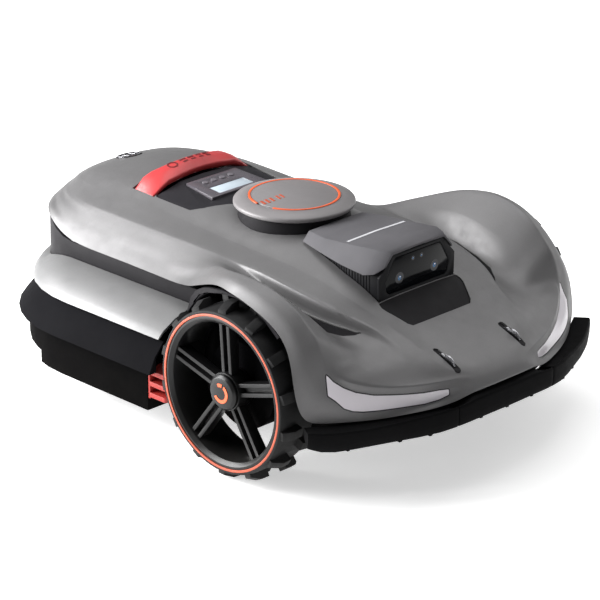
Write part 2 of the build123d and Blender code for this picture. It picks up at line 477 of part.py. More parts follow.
# ---------------------------------------------------------------- drive wheels
def wheel_side(s):
    """All pieces of one drive wheel; s is -1 on the right and +1 on the left."""
    def y(v):
        return s * v
    def lathe(pts):
        prof = make_face(Polyline(*[(r, v) for r, v in pts], close=True))      # radius, |y|
        body = revolve(Plane.XY * prof, Axis.Y)
        body = Pos(0, 0, WHEEL_Z) * body
        return body if s > 0 else mirror_y(body)
    carcass = lathe([(RIM_R, 222), (110, 222), (113, 226), (113, 280), (111.5, 284.4), (108.4, 285), (108.4, 280.5), (RIM_R, 280)])
    lugs = []
    for row, (y0, y1, phase) in enumerate(((253, 284.2, 0.0), (222.8, 249, 180 / 14))):
        for k in range(14):
            a = -90 + phase + 360 * k / 14
            block = Pos(0, (y0 + y1) / 2, 0) * Rot(0, -a, 0) * Pos(117.6, 0, 0) * Rot(8 if row else -8, 0, 0) * Box(12.8, y1 - y0 - 3, 13)
            lugs.append(Pos(0, 0, WHEEL_Z) * block)
    trim = revolve(Plane.XY * make_face(Polyline((0, 222.3), (120, 222.3), (124, 227), (124, 268), (116, 284.6), (0, 284.6), close=True)), Axis.Y)
    trim = Pos(0, 0, WHEEL_Z) * trim
    lug_set = [biggest(l & trim) for l in lugs]
    tread = [l if s > 0 else mirror_y(l) for l in lug_set]
    tyre = carcass
    tyre = tyre.fuse(*tread)
    rim = lathe([(RIM_R, 224), (RIM_R, 280), (104.9, 280.5), (104.9, 284), (101, 284.6), (96, 280), (93.5, 268), (93.5, 228), (95, 224)])
    hub = lathe([(AXLE_R + 0.05, 250), (26, 250), (28, 262), (26, 276), (AXLE_R + 0.05, 276)])
    parts = [hub]
    for k in range(5):
        a = 90 + 72 * k
        for off in (-6.5, 6.5):
            spoke = Rot(0, -a, 0) * Pos(60, 0, off) * Rot(0, 0, 3.5) * Box(74, 12, 5)
            spoke = Pos(0, 269, WHEEL_Z) * spoke
            parts.append(spoke if s > 0 else mirror_y(spoke))
        web = Pos(0, 262, WHEEL_Z) * Rot(0, -a, 0) * Pos(60, 0, 0) * Box(74, 5, 18)
        parts.append(web if s > 0 else mirror_y(web))
    rim = rim.fuse(*parts)
    rim = rim - ycyl(AXLE_R + 0.05, 0, WHEEL_Z, -276 if s < 0 else 240, -240 if s < 0 else 276)
    ringp = lathe([(105.0, 280.6), (108.3, 280.6), (108.3, 285.2), (105.0, 285.2)])
    cap = lathe([(0, 276.1), (24.5, 276.1), (24.5, 280), (21, 283.2), (12, 284.6), (0, 285)])
    return tyre, rim, ringp, cap


for side, s in (("right", -1), ("left", 1)):
    t, r, g, c = wheel_side(s)
    keep("tyre_" + side, biggest(t))
    keep("rim_" + side, biggest(r))
    keep("rim_ring_" + side, g)
    keep("hub_cap_" + side, c)

motor = ycyl(60, 0, WHEEL_Z, -246, -205.2) + ycyl(AXLE_R, 0, WHEEL_Z, -270, -200)
motor = biggest(motor)
keep("drive_motors", pair(motor))
# red scraper fingers behind each drive wheel
fingers = [Pos(-149, -248, z) * Box(34, 26, 7) for z in (64, 80.5, 97)]
fingers = [fillet(f.edges().filter_by(Axis.Z).group_by(Axis.X)[-1], 6) for f in fingers]
fingers = [Pos(0, 0, 0) * f for f in fingers]
post = Pos(-166.0, -248, 80.5) * Box(3.9, 26, 44)
scraper = post
for f in fingers:
    scraper = scraper + f
keep("wheel_scrapers", pair(biggest(scraper)))

# ---------------------------------------------------------------- bumper
BUMPER = [  # |y|, front x, underside z, front crease z, inner top z
    (0, 253, 96, 126.5, 130.5), (40, 252.3, 96, 126.5, 130), (60, 251.4, 95.5, 126, 128), (72, 250.6, 95, 124.5, 122),
    (85, 249.3, 94.5, 123, 116.6), (100, 246.5, 93.5, 122.5, 116), (120, 241.5, 92, 121, 115.3), (150, 229.5, 90.5, 118.5, 114),
    (180, 215.5, 89.5, 115.5, 113), (210, 201, 88, 113, 112), (230, 189, 86, 112, 111.5), (250, 176.5, 84.5, 111.8, 111.5),
    (265, 166, 86, 112.3, 112), (275, 158.5, 90, 113.2, 112.5), (283, 152.5, 94, 114, 112.8)]


def at_y(y, col):
    y = abs(y)
    for a, b in zip(BUMPER[:-1], BUMPER[1:]):
        if y <= b[0]:
            t = (y - a[0]) / (b[0] - a[0])
            return a[col] + (b[col] - a[col]) * t
    return BUMPER[-1][col]


def nose_x(y):
    return at_y(y, 1)


def bumper_depth(y):
    """Front-to-back width of the bumper: slim in the middle section, a broad ledge on the side sections."""
    y = abs(y)
    if y < 66:
        return 15.0
    if y < 93:
        return 15.0 + 9.0 * min(1.0, (y - 66) / 19)
    if y < 120:
        return 24.0 + 6.0 * (y - 93) / 27
    return 30.0 if y < 240 else 30.0 - 7.0 * (y - 240) / 43


def bumper_piece(ys):
    st = []
    for y in ys:
        x, zb, zc, zi = nose_x(y), at_y(y, 2), at_y(y, 3), at_y(y, 4)
        e = 6.0
        nx, ny = 1.0, -(nose_x(min(283, abs(y) + e)) - nose_x(max(0, abs(y) - e))) / (2 * e) * (1 if y >= 0 else -1)
        if abs(y) < 1:
            ny = 0.0
        n = hypot(nx, ny)
        nx, ny = nx / n, ny / n
        d = bumper_depth(y)
        zs = zi + 0.3 if zi < zc else zc + (zi - zc) * 6.8 / (d - 2.2)
        ring = []
        for o, z in ((-1.2, zb + 4), (0, zb + 12), (-0.4, zc - 2.4), (-2.2, zc), (-9, zs), (-d, zi), (-d, zi - 12), (-9, zb), (-3, zb)):
            ring.append((x + nx * o, y + ny * o, z))
        st.append(ring)
    return tube(st)


b_mid = bumper_piece([-92.6, -85, -78, -72, -66, -60, -40, -20, 0, 20, 40, 60, 66, 72, 78, 85, 92.6])
side = [94.0, 100, 110, 120, 135, 150, 165, 180, 195, 210, 220, 230, 240, 250, 258, 265, 270, 275, 279]
b_left = bumper_piece(side)
b_right = bumper_piece([-y for y in reversed(side)])
nub = []
for y in (-170, -131, -50, 0, 50, 131, 170):
    nub.append((y, Pos(nose_x(y) - 6, y, at_y(y, 2) - 0.8) * Box(4, 5, 3)))
b_mid = b_mid.fuse(*[n for y, n in nub if abs(y) < 90])
b_left = b_left.fuse(*[n for y, n in nub if y > 90])
b_right = b_right.fuse(*[n for y, n in nub if y < -90])
keep("bumper_center", biggest(b_mid))
keep("bumper_left", biggest(b_left))
keep("bumper_right", biggest(b_right))

# ---------------------------------------------------------------- casters
for side, s in (("right", -1), ("left", 1)):
    cy = s * CASTER_Y
    wx = CASTER_X - CASTER_TRAIL
    stem = cyl(8.0, CASTER_X, cy, 92.5, 118)
    crown = cyl(15, CASTER_X, cy, 88.5, 95.5)
    bridge = Pos((CASTER_X + wx) / 2, cy, 90.5) * Box(58, 40, 4)
    cheeks = []
    for d in (-1, 1):
        leg = Pos((CASTER_X + wx) / 2 - 4, cy + d * 18, 63.5) * Box(30, 4, 55)
        cheeks.append(leg)
    fork = stem.fuse(crown, bridge, *cheeks)
    fork = fork - ycyl(4.0, wx, CASTER_R, cy - 30, cy + 30)
    pin = ycyl(4.0, wx, CASTER_R, cy - 20, cy + 20)
    fork = fork.fuse(pin)
    keep("caster_fork_" + side, biggest(fork))
    prof = make_face(Polyline((4.05, -14), (12, -14), (12, -12), (34, -11), (39, -9), (40, -5), (40, 5), (39, 9), (34, 11), (12, 12), (12, 14), (4.05, 14), close=True))
    w = Pos(wx, cy, CASTER_R) * revolve(prof, Axis.Y)
    keep("caster_wheel_" + side, w)

# ---------------------------------------------------------------- cutting deck
housing = cyl(DECK_R, DECK_X, 0, 60, 76) - cyl(DECK_R - 3, DECK_X, 0, 50, 73)
housing = housing - cyl(5.6, DECK_X, 0, 60, 90)
for s in (-1, 1):
    for dx in (-ROD_OFF, ROD_OFF):
        boss = cyl(11, DECK_X + dx, s * ROD_OFF, 72, 79.5)
        housing = housing + boss
        housing = housing - cyl(6.05, DECK_X + dx, s * ROD_OFF, 60, 90)
nut = cyl(11, DECK_X - SCREW_OFF, 0, 70, 79.5)
housing = housing + nut - cyl(5.05, DECK_X - SCREW_OFF, 0, 60, 90)
keep("deck_housing", biggest(housing))
motor_b = cyl(38, DECK_X, 0, 76, 124)
motor_b = motor_b - cyl(5.05, DECK_X, 0, 70, 112)
keep("blade_motor", motor_b)
rods = []
for s in (-1, 1):
    for dx in (-ROD_OFF, ROD_OFF):
        rods.append(cyl(6.0, DECK_X + dx, s * ROD_OFF, 60, 150))
keep("deck_guide_rods", Compound([r for q in rods for r in q.solids()]))
screw = cyl(5.0, DECK_X - SCREW_OFF, 0, 58, 134)
keep("lift_screw", screw)
lift = Pos(DECK_X - SCREW_OFF, 0, 145) * Box(44, 44, 22) - cyl(5.05, DECK_X - SCREW_OFF, 0, 130, 160)
foot = Pos(DECK_X - SCREW_OFF, 0, 119) * Box(44, 44, 30) - Pos(DECK_X - SCREW_OFF, 0, 119) * Box(36, 60, 30.2)
lift = lift + foot
keep("lift_motor", biggest(lift))
shaft = cyl(5.0, DECK_X, 0, 47, 110)
plate = cyl(DISC_R, DECK_X, 0, 51, 54) + cyl(20, DECK_X, 0, 54, 62)
disc_b = plate - cyl(5.0, DECK_X, 0, 40, 70)
disc_b = disc_b + shaft
for k in range(3):
    a = radians(90 + 120 * k)
    disc_b = disc_b - cyl(2.5, DECK_X + BLADE_PIVOT_R * cos(a), BLADE_PIVOT_R * sin(a), 45, 60)
keep("blade_disc", biggest(disc_b))
screws = []
for k in range(3):
    a = radians(90 + 120 * k)
    px, py = DECK_X + BLADE_PIVOT_R * cos(a), BLADE_PIVOT_R * sin(a)
    knife = Pos(px, py, 49.4) * Rot(0, 0, degrees(a)) * Pos(14, 0, 0) * Box(44, 18, 0.8)
    knife = knife - cyl(2.55, px, py, 45, 55)
    keep("blade_%d" % (k + 1), knife)
    sc = cyl(2.5, px, py, 47.2, 56.2) + cyl(5.0, px, py, 45.2, 47.2) + cyl(4.4, px, py, 54.0, 57.0)
    screws += list(sc.solids())
keep("blade_screws", Compound(screws))
skid = cyl(62, DECK_X, 0, 40, 43) - cyl(5.05, DECK_X, 0, 30, 50)
skid = skid + (cyl(12, DECK_X, 0, 42, 50.7) - cyl(5.05, DECK_X, 0, 30, 60))
keep("skid_plate", biggest(skid))

# ---------------------------------------------------------------- inside
battery = Pos(-325, 0, 131) * Box(150, 170, 54)
keep("battery_pack", fillet(battery.edges().filter_by(Axis.Z), 8))
pcb = Pos(82, 0, 118.2) * Box(120, 150, 28)
keep("control_unit", pcb)
cs = []
for x, y in ((-480, 150), (-200, 240), (-320, 240), (158, 186)):
    head = cyl(4, x, y, 97.6, 100) if x < 0 else cyl(4, x, y, 95.6, 98)
    cs += list(pair(head).solids())
keep("chassis_screws", Compound(cs))

for name, shape in made.items():
    export_step(shape, "parts/%s.step" % name)
print(len(made), "nodes")
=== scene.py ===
import bpy, bmesh, json, math
import numpy as np
from mathutils import Vector, Matrix, Euler
from math import sin, cos, radians, pi, hypot


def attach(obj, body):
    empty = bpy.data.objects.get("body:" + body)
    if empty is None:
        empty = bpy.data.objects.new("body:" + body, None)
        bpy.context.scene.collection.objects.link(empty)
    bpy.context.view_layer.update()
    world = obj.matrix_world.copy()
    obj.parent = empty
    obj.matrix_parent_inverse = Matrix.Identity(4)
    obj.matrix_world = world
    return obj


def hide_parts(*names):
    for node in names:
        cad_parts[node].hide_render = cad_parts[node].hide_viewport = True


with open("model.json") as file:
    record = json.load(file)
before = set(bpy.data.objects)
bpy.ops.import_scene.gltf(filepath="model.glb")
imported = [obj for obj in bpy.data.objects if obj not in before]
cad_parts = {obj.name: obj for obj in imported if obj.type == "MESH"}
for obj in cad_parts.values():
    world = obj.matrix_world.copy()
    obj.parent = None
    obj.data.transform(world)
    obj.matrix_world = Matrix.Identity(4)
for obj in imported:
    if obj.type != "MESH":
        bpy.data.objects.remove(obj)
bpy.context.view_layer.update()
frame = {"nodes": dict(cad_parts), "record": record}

MM = 0.001
OX = 144.0                      # working-frame x = 0 is the drive axle; the row's origin is 144 mm behind it
N = frame["nodes"]
scene = bpy.context.scene


def P(x, y, z):
    return Vector(((x + OX) * MM, y * MM, z * MM))


# ------------------------------------------------------------------ materials
def srgb(r, g, b):
    def f(v):
        v /= 255.0
        return v / 12.92 if v <= 0.04045 else ((v + 0.055) / 1.055) ** 2.4
    return (f(r), f(g), f(b))


def material(name, rgb, rough=0.4, metal=0.0, coat=0.0, coat_rough=0.1, spec=0.5, grain=0.0, grain_scale=900.0,
             vary=0.06, vary_scale=14.0, flake=0.0, brushed=0.0, emit=0.0, ior=1.45, rough_vary=0.06, trans=0.0, dust=0.0, sheen=0.0):
    """Procedural finish: slow colour and roughness drift, optional paint flake, moulded grain, brushing and settled dust."""
    m = bpy.data.materials.new(name)
    m.use_nodes = True
    nt = m.node_tree
    nt.nodes.clear()
    out = nt.nodes.new("ShaderNodeOutputMaterial")
    b = nt.nodes.new("ShaderNodeBsdfPrincipled")
    nt.links.new(b.outputs[0], out.inputs[0])
    b.inputs["Metallic"].default_value = metal
    b.inputs["IOR"].default_value = ior
    b.inputs["Coat Weight"].default_value = coat
    b.inputs["Coat Roughness"].default_value = coat_rough
    b.inputs["Specular IOR Level"].default_value = spec
    b.inputs["Transmission Weight"].default_value = trans
    if sheen:
        b.inputs["Sheen Weight"].default_value = sheen
    tc = nt.nodes.new("ShaderNodeTexCoord")

    def noise(scale, detail=3.0, rough_=0.5, vec=None):
        n = nt.nodes.new("ShaderNodeTexNoise")
        n.inputs["Scale"].default_value = scale
        n.inputs["Detail"].default_value = detail
        n.inputs["Roughness"].default_value = rough_
        nt.links.new(vec if vec is not None else tc.outputs["Object"], n.inputs["Vector"])
        return n

    def ramp(src, a, bb, c0, c1):
        r = nt.nodes.new("ShaderNodeValToRGB")
        r.color_ramp.elements[0].position = a
        r.color_ramp.elements[1].position = bb
        r.color_ramp.elements[0].color = tuple(c0) + (1,)
        r.color_ramp.elements[1].color = tuple(c1) + (1,)
        nt.links.new(src, r.inputs[0])
        return r

    slow = noise(vary_scale, 4.0, 0.55)
    lo = tuple(max(0.0, c * (1 - vary)) for c in rgb)
    hi = tuple(min(1.0, c * (1 + vary)) for c in rgb)
    col = ramp(slow.outputs["Fac"], 0.32, 0.68, lo, hi).outputs[0]
    if flake:
        v = nt.nodes.new("ShaderNodeTexVoronoi")
        v.inputs["Scale"].default_value = 2600.0
        nt.links.new(tc.outputs["Object"], v.inputs["Vector"])
        mix = nt.nodes.new("ShaderNodeMix")
        mix.data_type = "RGBA"
        mix.blend_type = "OVERLAY"
        mix.inputs["Factor"].default_value = flake
        nt.links.new(col, mix.inputs[6])
        nt.links.new(v.outputs["Color"], mix.inputs[7])
        bw = nt.nodes.new("ShaderNodeHueSaturation")
        bw.inputs["Saturation"].default_value = 0.25 if flake else 1.0
        nt.links.new(mix.outputs[2], bw.inputs["Color"])
        col = bw.outputs[0]
    if dust:
        d = noise(38.0, 6.0, 0.65)
        geo = nt.nodes.new("ShaderNodeNewGeometry")
        sep = nt.nodes.new("ShaderNodeSeparateXYZ")
        nt.links.new(geo.outputs["Position"], sep.inputs[0])
        low = nt.nodes.new("ShaderNodeMapRange")
        low.inputs["From Min"].default_value = 0.0
        low.inputs["From Max"].default_value = 0.16
        low.inputs["To Min"].default_value = 1.0
        low.inputs["To Max"].default_value = 0.0
        nt.links.new(sep.outputs["Z"], low.inputs["Value"])
        mul = nt.nodes.new("ShaderNodeMath")
        mul.operation = "MULTIPLY"
        nt.links.new(d.outputs["Fac"], mul.inputs[0])
        nt.links.new(low.outputs[0], mul.inputs[1])
        mul2 = nt.nodes.new("ShaderNodeMath")
        mul2.operation = "MULTIPLY"
        mul2.inputs[1].default_value = dust
        nt.links.new(mul.outputs[0], mul2.inputs[0])
        mx = nt.nodes.new("ShaderNodeMix")
        mx.data_type = "RGBA"
        nt.links.new(mul2.outputs[0], mx.inputs["Factor"])
        nt.links.new(col, mx.inputs[6])
        mx.inputs[7].default_value = (0.20, 0.18, 0.15, 1)
        col = mx.outputs[2]
    nt.links.new(col, b.inputs["Base Color"])
    # emit makes the colour glow by itself: an even glow on the floor and display, and painted highlight and reflection
    # glow on the camera glints and lens irises
    if emit:
        nt.links.new(col, b.inputs["Emission Color"])
        b.inputs["Emission Strength"].default_value = emit
    rn = noise(vary_scale * 4.3, 5.0, 0.6)
    rr = nt.nodes.new("ShaderNodeMapRange")
    rr.inputs["From Min"].default_value = 0.3
    rr.inputs["From Max"].default_value = 0.7
    rr.inputs["To Min"].default_value = max(0.02, rough - rough_vary)
    rr.inputs["To Max"].default_value = min(1.0, rough + rough_vary)
    nt.links.new(rn.outputs["Fac"], rr.inputs["Value"])
    nt.links.new(rr.outputs[0], b.inputs["Roughness"])
    if grain or brushed:
        vec = None
        sc = grain_scale
        if brushed:
            mp = nt.nodes.new("ShaderNodeMapping")
            mp.inputs["Scale"].default_value = (1.0, 22.0, 22.0)
            nt.links.new(tc.outputs["Object"], mp.inputs["Vector"])
            vec = mp.outputs[0]
            sc = 70.0
        g = noise(sc, 2.0, 0.5, vec)
        bump = nt.nodes.new("ShaderNodeBump")
        bump.inputs["Strength"].default_value = grain or brushed
        bump.inputs["Distance"].default_value = 0.00012
        nt.links.new(g.outputs["Fac"], bump.inputs["Height"])
        nt.links.new(bump.outputs[0], b.inputs["Normal"])
    return m


M = {
    "cover": material("cover_paint", srgb(112, 109, 112), rough=0.50, metal=0.42, spec=0.3, coat=0.06, coat_rough=0.4, flake=0.10, vary=0.03, grain=0.05, grain_scale=1500),
    "panel": material("fairing_paint", srgb(124, 124, 126), rough=0.48, metal=0.32, coat=0.15, coat_rough=0.4, flake=0.08, vary=0.03, grain=0.05, grain_scale=1500),
    "strip": material("rail_paint", srgb(160, 158, 161), rough=0.34, metal=0.5, coat=0.3, flake=0.08, vary=0.03),
    "dark": material("dark_trim", srgb(36, 35, 37), rough=0.52, spec=0.08, grain=0.35, grain_scale=1400, vary=0.10),
    "skirt": material("skirt_grey", srgb(22, 22, 24), rough=0.60, spec=0.04, ior=1.12, grain=0.5, grain_scale=1200, vary=0.08, dust=0.02),
    "chassis": material("chassis_black", srgb(8, 8, 9), rough=0.60, spec=0.03, ior=1.12, grain=0.5, grain_scale=1100, vary=0.12, dust=0.03),
    "rubber": material("bumper_rubber", srgb(17, 17, 18), rough=0.54, spec=0.08, ior=1.2, grain=0.5, grain_scale=1600, vary=0.12, dust=0.02),
    "tyre": material("tyre_rubber", srgb(20, 20, 21), rough=0.62, spec=0.25, grain=0.8, grain_scale=900, vary=0.15, dust=0.06),
    "rim": material("rim_plastic", srgb(14, 14, 15), rough=0.34, spec=0.35, grain=0.15, grain_scale=1500, vary=0.12, dust=0.05),
    "orange": material("accent_orange", srgb(176, 78, 52), rough=0.38, vary=0.05, grain=0.12),
    "orange_bright": material("accent_orange_bright", srgb(226, 96, 52), rough=0.38, vary=0.05, grain=0.12),
    "red": material("stop_red", srgb(190, 60, 62), rough=0.40, coat=0.12, vary=0.05, grain=0.18, grain_scale=1600),
    "red_dark": material("stop_red_dark", srgb(104, 20, 24), rough=0.5, vary=0.08, grain=0.2),
    "scraper": material("scraper_red", srgb(156, 38, 32), rough=0.5, vary=0.1, grain=0.4, dust=0.12),
    "lens": material("lamp_lens", srgb(226, 221, 227), rough=0.22, coat=0.6, coat_rough=0.06, vary=0.03, grain=0.12, grain_scale=1900),
    "lamp_dark": material("lamp_liner", srgb(58, 56, 60), rough=0.45, grain=0.2, vary=0.08),
    "glint_glow": material("painted_glint_glow", srgb(238, 236, 240), rough=0.3, emit=0.25, vary=0.02),
    # painted highlight: glowing near-white, used only for the small glint spots painted on the camera window
    "console": material("console_grey", srgb(44, 43, 46), rough=0.46, spec=0.1, ior=1.25, grain=0.35, grain_scale=1400, vary=0.08),
    "keypad": material("keypad_film", srgb(84, 80, 86), rough=0.3, coat=0.3, vary=0.05, grain=0.15),
    "lcd": material("display_glass", srgb(186, 198, 208), rough=0.14, coat=0.5, coat_rough=0.04, vary=0.03, emit=0.12),
    "ink": material("display_ink", srgb(40, 48, 60), rough=0.4, vary=0.08),
    "glass": material("camera_glass", srgb(4, 5, 8), rough=0.10, spec=0.12, coat=0.08, coat_rough=0.05, vary=0.1, rough_vary=0.02),
    "lensdark": material("camera_lens", srgb(6, 12, 24), rough=0.1, spec=0.3, coat=0.2, coat_rough=0.02, vary=0.3, vary_scale=120, rough_vary=0.02),
    # painted reflection: blue lens colour with a faint glow added, used for the iris discs on the camera window
    "lens_blue_glow": material("camera_lens_blue_painted_glow", srgb(20, 84, 128), rough=0.15, spec=0.4, coat=0.3, coat_rough=0.02, vary=0.3, vary_scale=150, rough_vary=0.02, emit=0.12),
    "hood": material("hood_grey", srgb(92, 91, 94), rough=0.50, spec=0.10, ior=1.25, grain=0.45, grain_scale=1500, vary=0.08),
    "housing": material("housing_black", srgb(26, 26, 28), rough=0.40, spec=0.12, grain=0.25, grain_scale=1400, vary=0.1),
    "disc": material("disc_grey", srgb(126, 123, 124), rough=0.44, metal=0.15, grain=0.3, grain_scale=1500, vary=0.04),
    "disc_rim": material("disc_rim_grey", srgb(96, 94, 97), rough=0.4, metal=0.15, grain=0.3, vary=0.05),
    "steel": material("contact_steel", srgb(178, 178, 182), rough=0.26, metal=1.0, brushed=0.4, vary=0.05),
    "alu": material("motor_aluminium", srgb(150, 152, 156), rough=0.38, metal=1.0, brushed=0.3, vary=0.06),
    "button": material("key_grey", srgb(104, 100, 106), rough=0.4, vary=0.06, grain=0.2),
    "key_red": material("key_red", srgb(176, 52, 46), rough=0.4, vary=0.06, grain=0.2),
    "key_green": material("key_green", srgb(60, 128, 80), rough=0.4, vary=0.06, grain=0.2),
    "light_mark": material("hood_light_bar", srgb(196, 196, 200), rough=0.35, vary=0.03, grain=0.1),
    "board": material("inner_block", srgb(54, 60, 58), rough=0.5, vary=0.12, grain=0.4),
    "floor": material("studio_floor", (0.88, 0.88, 0.88), rough=0.75, vary=0.01, grain=0.05, grain_scale=300, emit=0.60),
}


def slots(obj, m):
    obj.data.materials.clear()
    obj.data.materials.append(M[m])


# ------------------------------------------------------------------ mesh helpers
def new_mesh(name, verts, faces, mat, body=None, smooth=True, node=None, metres=False, sharp=None):
    me = bpy.data.meshes.new(name)
    vs = [tuple(v) for v in verts] if metres else [tuple(P(*v)) for v in verts]
    me.from_pydata(vs, [], [tuple(f) for f in faces])
    me.validate()
    me.update()
    o = bpy.data.objects.new(name, me)
    scene.collection.objects.link(o)
    finish_mesh(o, smooth, sharp)
    o.data.materials.append(M[mat])
    if body:
        settle(o, body, node)
    return o


def finish_mesh(o, smooth=True, sharp=None):
    bm = bmesh.new()
    bm.from_mesh(o.data)
    bmesh.ops.recalc_face_normals(bm, faces=bm.faces)
    bm.to_mesh(o.data)
    bm.free()
    if smooth:
        o.data.shade_smooth()
        if sharp:
            o.data.set_sharp_from_angle(angle=radians(sharp))
    else:
        o.data.shade_flat()


def settle(o, body, node=None):
    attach(o, body)
    if node:
        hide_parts(node)


def apply_mods(o):
    bpy.context.view_layer.update()
    dg = bpy.context.evaluated_depsgraph_get()
    me = bpy.data.meshes.new_from_object(o.evaluated_get(dg))
    old = o.data
    o.modifiers.clear()
    o.data = me
    bpy.data.meshes.remove(old)


def bevel(o, width, segs=2, angle=30):
    m = o.modifiers.new("bevel", "BEVEL")
    m.width = width * MM
    m.segments = segs
    m.limit_method = "ANGLE"
    m.angle_limit = radians(angle)
    m.use_clamp_overlap = True
    m.harden_normals = False
    m.miter_outer = "MITER_ARC"
    return m


def refine(node, mat, width=0.8, segs=2, angle=32, name=None, planar=0.6, sharp=40):
    """The CAD node's shape with rounded edges, as a piece that replaces it."""
    src = N[node]
    me = src.data.copy()
    o = bpy.data.objects.new(name or node + "_fine", me)
    scene.collection.objects.link(o)
    bm = bmesh.new()
    bm.from_mesh(me)
    bmesh.ops.remove_doubles(bm, verts=bm.verts, dist=2e-6)
    bmesh.ops.dissolve_limit(bm, angle_limit=radians(planar), verts=bm.verts, edges=bm.edges)
    bmesh.ops.recalc_face_normals(bm, faces=bm.faces)
    bm.to_mesh(me)
    bm.free()
    if me.has_custom_normals:
        o.select_set(True)
        bpy.context.view_layer.objects.active = o
        bpy.ops.mesh.customdata_custom_splitnormals_clear()
        o.select_set(False)
    me.shade_smooth()
    if width:
        bevel(o, width, segs, angle)
        apply_mods(o)
    o.data.shade_smooth()
    o.data.set_sharp_from_angle(angle=radians(sharp))
    o.data.materials.clear()
    o.data.materials.append(M[mat])
    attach(o, node_body[node])
    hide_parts(node)
    return o


node_body = {n: b for b, ns in frame["record"]["behaviour"]["bodies"].items() for n in ns}


def boolean(o, cutters, op="DIFFERENCE"):
    for c in cutters:
        m = o.modifiers.new("cut", "BOOLEAN")
        m.operation = op
        m.object = c
        m.solver = "EXACT"
    apply_mods(o)
    for c in cutters:
        c.hide_render = True


def prism_obj(pts, direction, half, name="cutter"):
    d = Vector(direction).normalized() * half * MM
    base = [P(*p) for p in pts]
    n = len(base)
    vs = [p - d for p in base] + [p + d for p in base]
    faces = [list(range(n))[::-1], [n + i for i in range(n)]] + [[i, (i + 1) % n, n + (i + 1) % n, n + i] for i in range(n)]
    me = bpy.data.meshes.new(name)
    me.from_pydata([tuple(v) for v in vs], [], faces)
    o = bpy.data.objects.new(name, me)
    scene.collection.objects.link(o)
    finish_mesh(o, False)
    return o


def remove(objs):
    for o in objs:
        me = o.data
        bpy.data.objects.remove(o)
        bpy.data.meshes.remove(me)


def rounded(pts, r, n=5):
    """Closed 2-D outline with each corner rounded to radius r where it fits."""
    out, m = [], len(pts)
    for i in range(m):
        p = Vector(pts[i])
        a, b = Vector(pts[i - 1]) - p, Vector(pts[(i + 1) % m]) - p
        la, lb = a.length, b.length
        a.normalize(); b.normalize()
        half = math.acos(max(-1, min(1, a.dot(b)))) / 2
        t = min(r / max(0.05, math.tan(half)), la * 0.48, lb * 0.48)
        s, e = p + a * t, p + b * t
        for k in range(n + 1):
            u = k / n
            out.append(tuple(s * (1 - u) ** 2 + p * 2 * u * (1 - u) + e * u * u))
    return out


def shrink(pts, t):
    """Closed 2-D outline moved inward by t."""
    area = sum(pts[i - 1][0] * pts[i][1] - pts[i][0] * pts[i - 1][1] for i in range(len(pts)))
    sgn = 1 if area > 0 else -1
    out, m = [], len(pts)
    for i in range(m):
        a, p, b = Vector(pts[i - 1]), Vector(pts[i]), Vector(pts[(i + 1) % m])
        e1, e2 = (p - a), (b - p)
        if e1.length < 1e-6 or e2.length < 1e-6:
            out.append(tuple(p)); continue
        e1.normalize(); e2.normalize()
        n1, n2 = Vector((-e1.y, e1.x)) * sgn, Vector((-e2.y, e2.x)) * sgn
        nn = n1 + n2
        if nn.length < 1e-6:
            nn = n1.copy()
        nn.normalize()
        out.append(tuple(p + nn * t / max(0.5, nn.dot(n1))))
    return out


